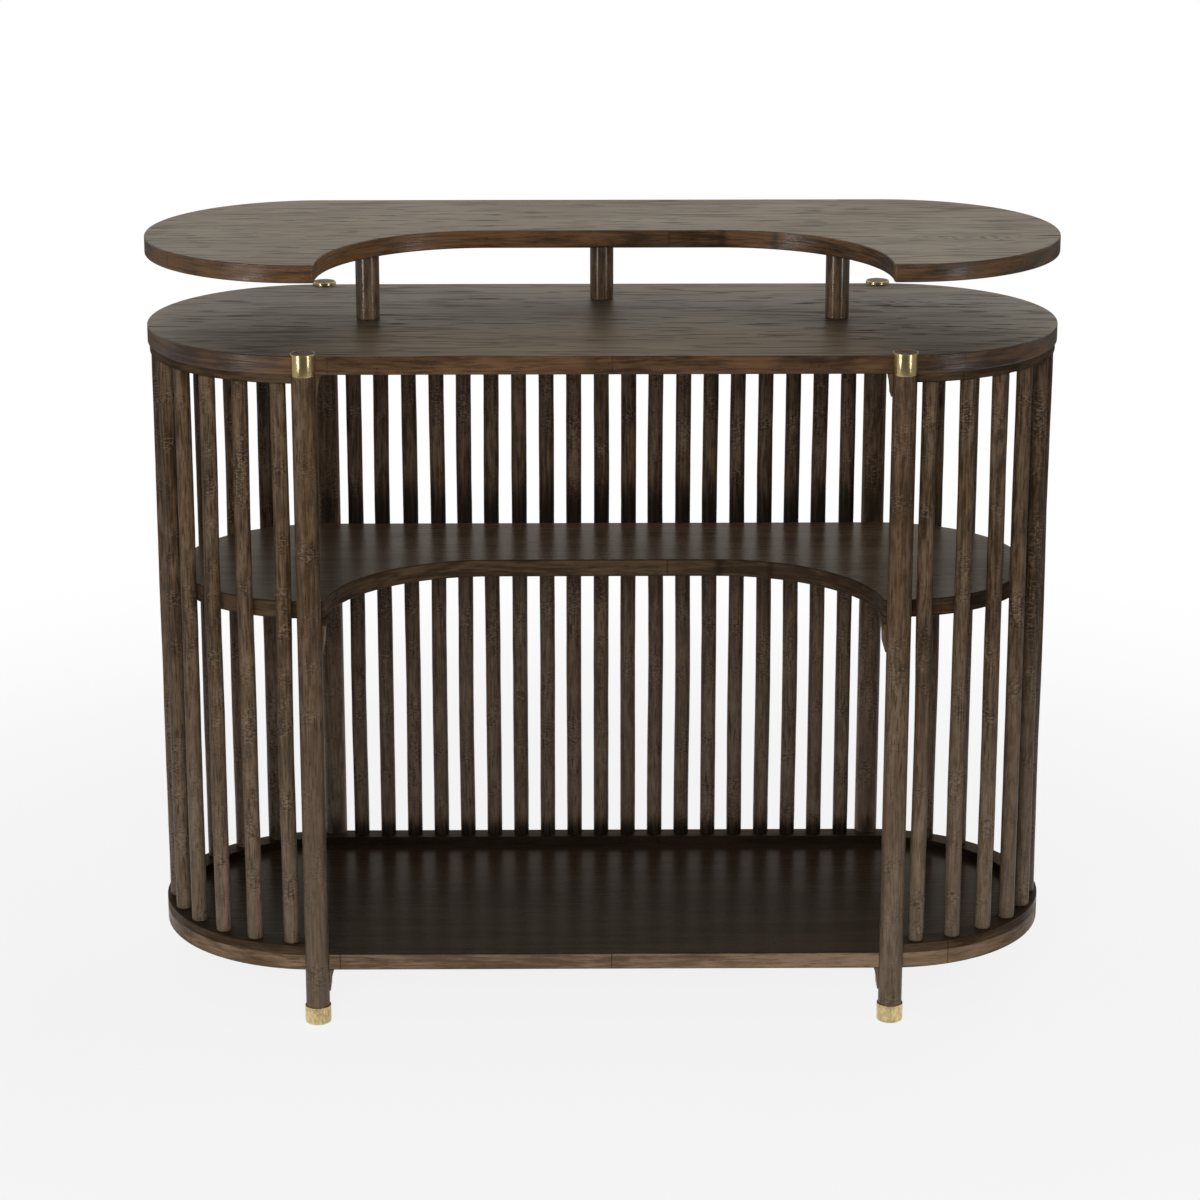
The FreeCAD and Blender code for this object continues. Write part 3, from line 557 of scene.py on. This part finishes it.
def round_wood(name, light, dark, polish, gloss, flecks, turned):
    """Upright round stock: long streaks, worn patches, cross flecks and turning lines; paler towards the
    floor as painted floor light with some wear, and painted shade on the back slats' inner side.
    """
    wood = bpy.context.scene.bar_table_wood
    material, nodes, shader = new_material(name)
    place = nodes.place()
    grain = nodes.use(long_grain(), nodes.stretch(place, *ROUND_GRAIN))
    fleck = nodes.use(cross_fleck(), nodes.stretch(place, *ROUND_FLECK))
    rub = nodes.use(bloom(), nodes.stretch(place, *ROUND_RUB))
    smeared = weigh(nodes, grain["Streaks"], 0.75, rub["Smear"], 0.25)
    clouded = weigh(nodes, smeared, 0.75, rub["Cloud"], 0.25)
    base = nodes.blend(nodes.ease(clouded, 0.15, 0.85), dark, light)
    _, deep, height = nodes.add("SeparateXYZ", {0: place}).outputs
    # Random rubbing, and paleness towards the floor that is painted light from the floor.
    wear_and_floor_light = weigh(nodes, nodes.calc("MULTIPLY", rub["Smear"], rub["Cloud"]), 0.35,
                 nodes.ease(height, FLOOR_LIGHT_TOP, FLOOR_LIGHT_FOOT), 0.42)
    base = nodes.blend(wear_and_floor_light, base, wood.worn_and_floor_lit)
    base = nodes.blend(nodes.calc("MULTIPLY", fleck["Pale"], 0.55 * flecks), base, wood.worn_and_floor_lit)
    base = nodes.blend(nodes.calc("MULTIPLY", fleck["Dark"], 0.55 * flecks), base, wood.pore_and_shade)
    base = nodes.blend(weigh(nodes, grain["Pores"], 0.60, grain["Lines"], 0.30), base, wood.pore_and_shade)
    # Painted shade on the inner side of the back slats.
    base = nodes.blend(back_slat_painted_shade(nodes, deep, height, grain["Streaks"]), base, wood.pore_and_shade)
    roughness = nodes.ease(weigh(nodes, rub["Cloud"], 1.0, fleck["Dark"], 1.0), 0.0, 2.0,
                           polish - 0.04, polish + 0.10)
    lines = nodes.noise(nodes.stretch(place, *TURNING_LINES), 1.0, 1.0).outputs[0]
    relief = nodes.calc("SUBTRACT", nodes.calc("MULTIPLY", grain["Streaks"], 0.4), fleck["Dark"])
    feed(nodes, shader, base, roughness, weigh(nodes, relief, 0.2 * flecks, lines, turned), ROUND_BUMP)
    shader.inputs["Specular IOR Level"].default_value = gloss
    return material


def brass(name, polish, wear, clean, stained):
    """Brass with faint turning lines and patches of tarnish."""
    metal = bpy.context.scene.bar_table_brass
    material, nodes, shader = new_material(name)
    place = nodes.place()
    rub = nodes.use(bloom(), nodes.stretch(place, *BRASS_RUB))
    lines = nodes.noise(nodes.stretch(place, *BRASS_LINES), 1.0, 3.0, 0.7).outputs[0]
    stain = nodes.ease(weigh(nodes, rub["Cloud"], 0.5, rub["Smear"], 0.5), 0.0, 1.0, clean, stained)
    tint = nodes.blend(stain, metal.bright, metal.aged)
    rubbed = nodes.calc("ADD", rub["Smear"], lines)
    roughness = nodes.ease(rubbed, 0.3, 1.7, polish - wear, polish + wear)
    feed(nodes, shader, tint, roughness, lines, wear * BRASS_BUMP)
    shader.inputs["Metallic"].default_value = 1.0
    return material


def glide_plastic():
    """Dark moulded plastic with faint scuffs."""
    glides = bpy.context.scene.bar_table_glides
    material, nodes, shader = new_material("glide_plastic")
    place = nodes.place()
    rub = nodes.use(bloom(), nodes.stretch(place, *GLIDE_RUB))
    tint = nodes.blend(nodes.calc("MULTIPLY", rub["Smear"], 0.6), glides.dark, glides.pale)
    roughness = nodes.ease(rub["Cloud"], 0.0, 1.0, 0.45, 0.65)
    feed(nodes, shader, tint, roughness, rub["Smear"], GLIDE_BUMP)
    return material


def screw_steel():
    """Zinc-plated steel with a faint yellow cast."""
    material, nodes, shader = new_material("screw_steel")
    place = nodes.place()
    rub = nodes.use(bloom(), nodes.stretch(place, *SCREW_RUB))
    tint = nodes.blend(rub["Cloud"], SCREW_DARK, SCREW_PALE)
    roughness = nodes.ease(rub["Smear"], 0.0, 1.0, 0.28, 0.45)
    feed(nodes, shader, tint, roughness, rub["Smear"], SCREW_BUMP)
    shader.inputs["Metallic"].default_value = 1.0
    return material


# Modelling

def start_clean():
    """Leave edit mode and deselect everything."""
    if bpy.context.object and bpy.context.object.mode != "OBJECT":
        bpy.ops.object.mode_set(mode="OBJECT")
    bpy.ops.object.select_all(action="DESELECT")


def pick(item):
    """Make one object the only selected and active one."""
    start_clean()
    item.select_set(True)
    bpy.context.view_layer.objects.active = item


def pick_parts(item, kind, test):
    """In edit mode, select only the points, edges or faces that pass a test."""
    mesh = bmesh.from_edit_mesh(item.data)
    bpy.ops.mesh.select_all(action="DESELECT")
    bpy.ops.mesh.select_mode(type=kind)
    parts = {"VERT": mesh.verts, "EDGE": mesh.edges, "FACE": mesh.faces}[kind]
    for part in parts:
        part.select_set(test(part))
    mesh.select_flush_mode()
    bmesh.update_edit_mesh(item.data)


def is_level(edge):
    """Whether an edge lies flat."""
    first, second = edge.verts
    return abs(first.co.z - second.co.z) < SAME_HEIGHT


def at_height(edge, z):
    """Whether an edge lies flat at a height."""
    return is_level(edge) and abs(edge.verts[0].co.z - z) < SAME_HEIGHT


def reach(point):
    """Distance of a point from the upright axis through the origin."""
    return point.co.xy.length


def new_cylinder(name, sides, radius, height):
    """Cylinder on the origin, standing on the ground, in edit mode."""
    start_clean()
    bpy.ops.mesh.primitive_cylinder_add(
        vertices=sides, radius=radius, depth=height, end_fill_type="NGON",
        location=(0, 0, height / 2),
    )
    item = bpy.context.object
    item.name = name
    bpy.ops.object.transform_apply(location=True, rotation=True, scale=True)
    bpy.ops.object.mode_set(mode="EDIT")
    return item


def step_end(item, z, radius, new_radius, rise):
    """In edit mode, step the end face at a height in to a smaller radius and draw it out."""
    pick_parts(item, "FACE", lambda face: abs(face.normal.z) > LEVEL_NORMAL
               and abs(face.calc_center_median().z - z) < SAME_HEIGHT)
    bpy.ops.mesh.inset(thickness=radius - new_radius, depth=0)
    bpy.ops.mesh.extrude_region_move(TRANSFORM_OT_translate={"value": (0, 0, rise)})


def soften(item, heights, radius, size, segments):
    """In edit mode, bevel the rings of one radius at some heights."""
    pick_parts(item, "EDGE", lambda edge: any(at_height(edge, z) for z in heights)
               and all(abs(reach(point) - radius) < SAME_RADIUS for point in edge.verts))
    bpy.ops.mesh.bevel(offset=size, segments=segments, affect="EDGES")


def close_mesh():
    """Leave the piece's edit mode with faces outwards and smooth shading up to an angle."""
    bpy.ops.mesh.select_all(action="SELECT")
    bpy.ops.mesh.normals_make_consistent(inside=False)
    bpy.ops.object.mode_set(mode="OBJECT")
    bpy.ops.object.shade_smooth_by_angle(angle=SMOOTH_ANGLE)


def copy_to(item, name, spot):
    """Copy of a piece with its own mesh, shifted to a spot, its place in its mesh."""
    pick(item)
    bpy.ops.object.duplicate()
    copy = bpy.context.object
    copy.name = name
    copy.location = spot
    bpy.ops.object.transform_apply(location=True, rotation=True, scale=True)
    return copy


def join_copies(item, name, spots):
    """One piece made of a copy at each spot; the pattern is removed."""
    copies = [copy_to(item, f"{name}_{index}", spot) for index, spot in enumerate(spots)]
    start_clean()
    for copy in copies:
        copy.select_set(True)
    bpy.context.view_layer.objects.active = copies[0]
    bpy.ops.object.join()
    joined = bpy.context.object
    joined.name = name
    bpy.data.objects.remove(item)
    return joined


def stand_for(piece, material, slot, *nodes):
    """Finish a new piece: its material, its body, and the nodes that it stands for."""
    piece.data.materials.clear()
    piece.data.materials.append(material)
    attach(piece, BODY)
    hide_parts(*nodes)


def dress(material, *names):
    """Give a material to nodes that keep their own shape."""
    for name in names:
        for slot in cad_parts[name].material_slots:
            slot.material = material


def middle_of(name):
    """Plan place of a node's centre."""
    low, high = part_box(name)
    return (low.x + high.x) / 2, (low.y + high.y) / 2


def leg_radius(low):
    """Radius round the first leg's axis that reaches a box's low corner."""
    return middle_of(LEG_NAMES[0])[0] - low.x


def leg_spots(z):
    """Place on each leg's axis at a height."""
    return [(*middle_of(name), z) for name in LEG_NAMES]


# Operators

class BARTABLE_OT_counters(bpy.types.Operator):
    """Finish the raised counter and the main top"""
    bl_idname = "bar_table.counters"
    bl_label = "Counter Boards"

    def execute(self, context):
        wood = context.scene.bar_table_wood
        material = board_wood(
            "counter_wood", (wood.counter_dark, wood.counter_light), (wood.edge_dark, wood.edge_light),
            wood.counter_polish, wood.counter_gloss, figure=0.95, inward_painted_shade=0.0,
        )
        dress(material, "riser_top", "main_top")
        return {"FINISHED"}


class BARTABLE_OT_shelves(bpy.types.Operator):
    """Finish the middle shelf and the bottom shelf, which is painted darker as shade under the shelves
    above
    """
    bl_idname = "bar_table.shelves"
    bl_label = "Shelves"

    def execute(self, context):
        wood = context.scene.bar_table_wood
        material = board_wood(
            "shelf_wood", (wood.shelf_dark, wood.shelf_light),
            (wood.shelf_edge_dark, wood.shelf_edge_light),
            wood.shelf_polish, wood.shelf_gloss, figure=0.20, inward_painted_shade=0.0,
        )
        dress(material, "mid_shelf")
        # The bottom shelf takes the darker base tones as painted shade.
        material = board_wood(
            "shaded_base_wood", (wood.shaded_base_dark, wood.shaded_base_light),
            (wood.floor_lit_base_edge_dark, wood.floor_lit_base_edge_light),
            wood.shelf_polish, wood.base_gloss, figure=0.15, inward_painted_shade=0.0,
        )
        dress(material, "bottom_shelf")
        return {"FINISHED"}


class BARTABLE_OT_rails(bpy.types.Operator):
    """Finish the two rails that hold the slats, with painted shade on their inward edges and the darker,
    shaded base tones on their level faces
    """
    bl_idname = "bar_table.rails"
    bl_label = "Rails"

    def execute(self, context):
        wood = context.scene.bar_table_wood
        material = board_wood(
            "rail_wood", (wood.shaded_base_dark, wood.shaded_base_light),
            (wood.shelf_edge_dark, wood.shelf_edge_light),
            wood.round_polish, wood.base_gloss, figure=0.40, inward_painted_shade=0.85,
        )
        dress(material, "upper_rail", "lower_rail")
        return {"FINISHED"}


class BARTABLE_OT_slats(bpy.types.Operator):
    """Shape the slats, each with a bow and an unevenness of its own"""
    bl_idname = "bar_table.slats"
    bl_label = "Slats"

    def execute(self, context):
        settings = context.scene.bar_table_slats
        wood = context.scene.bar_table_wood
        material = round_wood("slat_wood", wood.slat_light, wood.slat_dark,
                              wood.round_polish, wood.round_gloss, flecks=1.0, turned=0.0)
        low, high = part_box(SLAT_NAMES[0])
        foot = low.z + settings.tenon_length
        run = high.z - low.z - 2 * settings.tenon_length
        radius = (high.x - low.x) / 2
        pattern = self.pattern(settings, radius, run)
        chance = random.Random(settings.seed)
        texture = bpy.data.textures.new("slat_ripple", "CLOUDS")
        texture.noise_scale = settings.ripple_size
        for name in SLAT_NAMES:
            slat = copy_to(pattern, f"shaped_{name}", (*middle_of(name), foot))
            self.bend(slat, settings, foot, run, chance)
            self.ripple(slat, settings, foot, run, texture)
            stand_for(slat, material, "slat_wood", name)
        bpy.data.objects.remove(pattern)
        return {"FINISHED"}

    def pattern(self, settings, radius, run):
        """Straight slat with eased ends and a tenon at each end, standing on the origin."""
        item = new_cylinder("slat_pattern", settings.sides, radius, run)
        pick_parts(item, "EDGE", lambda edge: not is_level(edge))
        bpy.ops.mesh.subdivide(number_cuts=settings.rings)
        soften(item, (0, run), radius, settings.end_ease, RIM_STEPS)
        inner = radius - settings.end_ease
        step_end(item, 0, inner, settings.tenon_radius, -settings.tenon_length)
        step_end(item, run, inner, settings.tenon_radius, settings.tenon_length)
        close_mesh()
        return item

    def bend(self, slat, settings, foot, run, chance):
        """Draw two stretches of a slat a little to one side."""
        pick(slat)
        bpy.ops.object.mode_set(mode="EDIT")
        near = run / settings.rings * RING_SHARE
        for part in BOW_HEIGHTS:
            height = foot + run * (part + chance.uniform(-BOW_SPREAD, BOW_SPREAD))
            pick_parts(slat, "VERT", lambda point: abs(point.co.z - height) < near)
            shift = (chance.uniform(-1, 1) * settings.bow, chance.uniform(-1, 1) * settings.bow, 0)
            bpy.ops.transform.translate(
                value=shift, use_proportional_edit=True, proportional_edit_falloff="SMOOTH",
                proportional_size=run * BOW_REACH,
            )
        bpy.ops.object.mode_set(mode="OBJECT")

    def ripple(self, slat, settings, foot, run, texture):
        """Make a slat's surface uneven, fading out at its ends."""
        free = slat.vertex_groups.new(name="free_length")
        for point in slat.data.vertices:
            end_gap = min(point.co.z - foot, foot + run - point.co.z)
            free.add([point.index], min(max(end_gap / RIPPLE_FADE, 0.0), 1.0), "REPLACE")
        uneven = slat.modifiers.new("uneven", "DISPLACE")
        uneven.texture = texture
        uneven.texture_coords = "GLOBAL"
        uneven.strength = settings.ripple
        uneven.mid_level = 0.5
        uneven.vertex_group = free.name
        pick(slat)
        bpy.ops.object.modifier_apply(modifier=uneven.name)
        slat.vertex_groups.clear()


class BARTABLE_OT_legs(bpy.types.Operator):
    """Finish the legs and their corner blocks"""
    bl_idname = "bar_table.legs"
    bl_label = "Legs and Blocks"

    def execute(self, context):
        wood = context.scene.bar_table_wood
        material = round_wood("leg_wood", wood.leg_light, wood.leg_dark,
                              wood.round_polish, wood.round_gloss, flecks=0.8, turned=0.0)
        dress(material, *LEG_NAMES, "corner_blocks")
        return {"FINISHED"}


class BARTABLE_OT_posts(bpy.types.Operator):
    """Finish the lacquered posts of the raised counter"""
    bl_idname = "bar_table.posts"
    bl_label = "Posts"

    def execute(self, context):
        wood = context.scene.bar_table_wood
        material = round_wood("post_wood", wood.leg_light, wood.leg_dark,
                              wood.post_polish, wood.post_gloss, flecks=0.15, turned=1.0)
        dress(material, "riser_side_posts", "riser_rear_post")
        return {"FINISHED"}


class BARTABLE_OT_collars(bpy.types.Operator):
    """Model the polished brass collars round the leg tops"""
    bl_idname = "bar_table.collars"
    bl_label = "Collars"

    def execute(self, context):
        settings = context.scene.bar_table_brass
        low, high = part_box("brass_collars")
        radius = leg_radius(low)
        start_clean()
        bpy.ops.mesh.primitive_circle_add(vertices=settings.sides, radius=radius, fill_type="NOTHING")
        item = bpy.context.object
        item.name = "collar_pattern"
        bpy.ops.object.mode_set(mode="EDIT")
        bpy.ops.mesh.select_all(action="SELECT")
        bpy.ops.mesh.extrude_region_move(TRANSFORM_OT_translate={"value": (0, 0, high.z - low.z)})
        bpy.ops.mesh.select_all(action="SELECT")
        bpy.ops.mesh.normals_make_consistent(inside=False)
        bpy.ops.object.mode_set(mode="OBJECT")
        wall = item.modifiers.new("wall", "SOLIDIFY")
        wall.thickness = settings.collar_wall
        wall.offset = -1.0
        bpy.ops.object.modifier_apply(modifier=wall.name)
        rims = item.modifiers.new("rims", "BEVEL")
        rims.width = settings.rim_round
        rims.segments = RIM_STEPS
        rims.limit_method = "ANGLE"
        bpy.ops.object.modifier_apply(modifier=rims.name)
        bpy.ops.object.shade_smooth_by_angle(angle=SMOOTH_ANGLE)
        piece = join_copies(item, "polished_collars", leg_spots(low.z))
        material = brass("collar_brass", polish=0.25, wear=0.02, clean=0.08, stained=0.24)
        stand_for(piece, material, "brass", "brass_collars")
        return {"FINISHED"}


class BARTABLE_OT_ferrules(bpy.types.Operator):
    """Model the satin brass ferrules at the feet"""
    bl_idname = "bar_table.ferrules"
    bl_label = "Ferrules"

    def execute(self, context):
        settings = context.scene.bar_table_brass
        low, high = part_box("brass_ferrules")
        radius = leg_radius(low)
        tall = high.z - low.z
        item = new_cylinder("ferrule_pattern", settings.sides, radius, tall)
        bore = radius - settings.ferrule_wall
        step_end(item, tall, radius, bore, settings.ferrule_floor - tall)
        soften(item, (0,), radius, settings.foot_round, FOOT_STEPS)
        soften(item, (tall,), radius, settings.rim_round, RIM_STEPS)
        close_mesh()
        piece = join_copies(item, "satin_ferrules", leg_spots(low.z))
        material = brass("ferrule_brass", polish=0.36, wear=0.06, clean=0.10, stained=0.80)
        stand_for(piece, material, "brass", "brass_ferrules")
        return {"FINISHED"}


class BARTABLE_OT_glides(bpy.types.Operator):
    """Model the glides that the table stands on"""
    bl_idname = "bar_table.glides"
    bl_label = "Glides"

    def execute(self, context):
        settings = context.scene.bar_table_glides
        low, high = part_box("foot_glides")
        radius = leg_radius(low)
        item = new_cylinder("glide_pattern", settings.sides, radius, settings.thickness)
        pin = high.z - low.z - settings.thickness
        step_end(item, settings.thickness, radius, settings.pin_radius, pin)
        soften(item, (0, settings.thickness), radius, settings.edge_round, RIM_STEPS)
        close_mesh()
        piece = join_copies(item, "rounded_glides", leg_spots(low.z))
        stand_for(piece, glide_plastic(), "glide_plastic", "foot_glides")
        return {"FINISHED"}


class BARTABLE_OT_screws(bpy.types.Operator):
    """Finish the screws of the corner blocks"""
    bl_idname = "bar_table.screws"
    bl_label = "Screws"

    def execute(self, context):
        dress(screw_steel(), "block_screws")
        return {"FINISHED"}


class BARTABLE_OT_stage(bpy.types.Operator):
    """Set up the floor, the studio light and the camera"""
    bl_idname = "bar_table.stage"
    bl_label = "Stage"

    def execute(self, context):
        settings = context.scene.bar_table_stage
        self.floor(settings)
        self.studio(context.scene, settings)
        left = self.lamp(
            "left_strip", LEFT_STRIP_PLACE, STRIP_SIZE, settings.left_power, STRIP_TARGET)
        right = self.lamp(
            "right_strip", RIGHT_STRIP_PLACE, STRIP_SIZE, settings.right_power, STRIP_TARGET)
        front = self.lamp(
            "front_lamp", FRONT_LAMP_PLACE, WIDE_LAMP_SIZE, settings.front_power, LAMP_TARGET)
        self.lamp("top_lamp", TOP_LAMP_PLACE, TOP_LAMP_SIZE, settings.top_power, LAMP_TARGET)
        back = self.lamp(
            "back_lamp", BACK_LAMP_PLACE, WIDE_LAMP_SIZE, settings.back_power, LAMP_TARGET)
        for strip in (left, right):
            strip.visible_diffuse = False
        for wide in (front, back):
            wide.visible_glossy = False
        self.camera(context.scene, settings)
        context.scene.view_settings.view_transform = "Standard"
        return {"FINISHED"}

    def floor(self, settings):
        """Pale floor that keeps the table's shadow."""
        start_clean()
        bpy.ops.mesh.primitive_plane_add(size=settings.floor_size)
        floor = bpy.context.object
        floor.name = "floor"
        material = bpy.data.materials.new("floor_paint")
        material.use_nodes = True
        material.node_tree.nodes.clear()
        nodes = Nodes(material.node_tree)
        place = nodes.place()
        x, y, _ = nodes.add("SeparateXYZ", {0: place}).outputs
        gap = nodes.add("VectorMath", {0: place}, operation="LENGTH").outputs["Value"]
        beside = nodes.calc("SUBTRACT", nodes.calc("ABSOLUTE", x), nodes.calc("ABSOLUTE", y))
        close = nodes.ease(gap, settings.glow_end, settings.mirror_start)
        side = nodes.ease(x, -0.5, 0.5, settings.left, settings.right)
        aside = nodes.calc("MULTIPLY", nodes.ease(beside, 0.2, 1.0), side)
        mirrored = nodes.calc("MAXIMUM", close, nodes.calc("MAXIMUM", aside, settings.front))
        path = nodes.add("LightPath").outputs
        seen = path["Is Camera Ray"]
        whitened = nodes.ease(gap, settings.glow_start, settings.glow_end, settings.floor_glow, 1.0)
        plain = nodes.calc("MAXIMUM", nodes.calc("MULTIPLY", seen, whitened), path["Is Glossy Ray"])
        strength = nodes.calc("MAXIMUM", mirrored, seen)
        paint = nodes.add("BsdfDiffuse", {"Color": settings.floor}).outputs[0]
        white = nodes.add("Emission", {"Color": WHITE, "Strength": strength}).outputs[0]
        mixed = nodes.add("MixShader", {0: plain, 1: paint, 2: white}).outputs[0]
        nodes.add("OutputMaterial", {"Surface": mixed})
        floor.data.materials.append(material)

    def studio(self, scene, settings):
        """White to the camera; in reflections bright behind, dim beside and dark in front."""
        world = bpy.data.worlds.new("studio")
        world.use_nodes = True
        world.node_tree.nodes.clear()
        nodes = Nodes(world.node_tree)
        way = nodes.add("TexCoord").outputs["Generated"]
        x, y, _ = nodes.add("SeparateXYZ", {0: way}).outputs
        beside = nodes.calc("SUBTRACT", nodes.calc("ABSOLUTE", x), nodes.calc("ABSOLUTE", y))
        behind = nodes.ease(y, -0.2, 0.4, settings.front, settings.backdrop)
        side = nodes.ease(x, -0.3, 0.3, settings.left, settings.right)
        aside = nodes.calc("MULTIPLY", nodes.ease(beside, -0.1, 0.3), side)
        level = nodes.calc("MAXIMUM", behind, aside)
        path = nodes.add("LightPath").outputs
        mirrored = nodes.calc("MULTIPLY", level, path["Is Glossy Ray"])
        haze = nodes.calc("MULTIPLY", nodes.calc("SUBTRACT", 1.0, path["Is Glossy Ray"]), settings.haze)
        strength = nodes.calc("MAXIMUM", nodes.calc("ADD", mirrored, haze), path["Is Camera Ray"])
        tone = nodes.blend(path["Is Glossy Ray"], WHITE, settings.tint)
        sky = nodes.add("Background", {"Color": tone, "Strength": strength}).outputs[0]
        nodes.add("OutputWorld", {"Surface": sky})
        scene.world = world

    def lamp(self, name, spot, size, energy, target):
        """Soft rectangular lamp that points at a target."""
        data = bpy.data.lights.new(name, "AREA")
        data.shape = "RECTANGLE"
        data.size, data.size_y = size
        data.energy = energy
        lamp = bpy.data.objects.new(name, data)
        lamp.location = spot
        lamp.rotation_euler = (Vector(target) - Vector(spot)).to_track_quat("-Z", "Y").to_euler()
        lamp.visible_camera = False
        bpy.context.scene.collection.objects.link(lamp)
        return lamp

    def camera(self, scene, settings):
        """Camera at the photograph's viewing angle."""
        data = bpy.data.cameras.new("camera")
        data.lens = settings.lens
        data.sensor_width = SENSOR_WIDTH
        camera = bpy.data.objects.new("camera", data)
        camera.location = settings.place
        camera.rotation_euler = (math.pi / 2 - settings.tilt, 0, -settings.turn)
        scene.collection.objects.link(camera)
        scene.camera = camera


class BARTABLE_PT_panel(bpy.types.Panel):
    """Steps that build the bar table"""
    bl_idname = "BARTABLE_PT_panel"
    bl_label = "Bar Table"
    bl_space_type = "VIEW_3D"
    bl_region_type = "UI"
    bl_category = "Bar Table"

    def draw(self, context):
        for step in STEPS:
            self.layout.operator(step.bl_idname)
        for name in SETTINGS:
            box = self.layout.box()
            box.label(text=SETTINGS[name].bl_rna.name)
            for key in SETTINGS[name].__annotations__:
                box.prop(getattr(context.scene, name), key)


STEPS = (
    BARTABLE_OT_counters,
    BARTABLE_OT_shelves,
    BARTABLE_OT_rails,
    BARTABLE_OT_slats,
    BARTABLE_OT_legs,
    BARTABLE_OT_posts,
    BARTABLE_OT_collars,
    BARTABLE_OT_ferrules,
    BARTABLE_OT_glides,
    BARTABLE_OT_screws,
    BARTABLE_OT_stage,
)
SETTINGS = {
    "bar_table_slats": BarTableSlats,
    "bar_table_brass": BarTableBrass,
    "bar_table_glides": BarTableGlides,
    "bar_table_wood": BarTableWood,
    "bar_table_stage": BarTableStage,
}


def register():
    """Add the settings, the operators and the panel."""
    for name, kind in SETTINGS.items():
        bpy.utils.register_class(kind)
        setattr(bpy.types.Scene, name, bpy.props.PointerProperty(type=kind))
    for kind in (*STEPS, BARTABLE_PT_panel):
        bpy.utils.register_class(kind)


def unregister():
    """Remove the panel, the operators and the settings."""
    for kind in (BARTABLE_PT_panel, *reversed(STEPS)):
        bpy.utils.unregister_class(kind)
    for name, kind in SETTINGS.items():
        delattr(bpy.types.Scene, name)
        bpy.utils.unregister_class(kind)


def main():
    """Build the table step by step."""
    register()
    start_clean()
    for step in STEPS:
        getattr(bpy.ops.bar_table, step.bl_idname.split(".")[1])()
    start_clean()


if __name__ == "__main__":
    main()
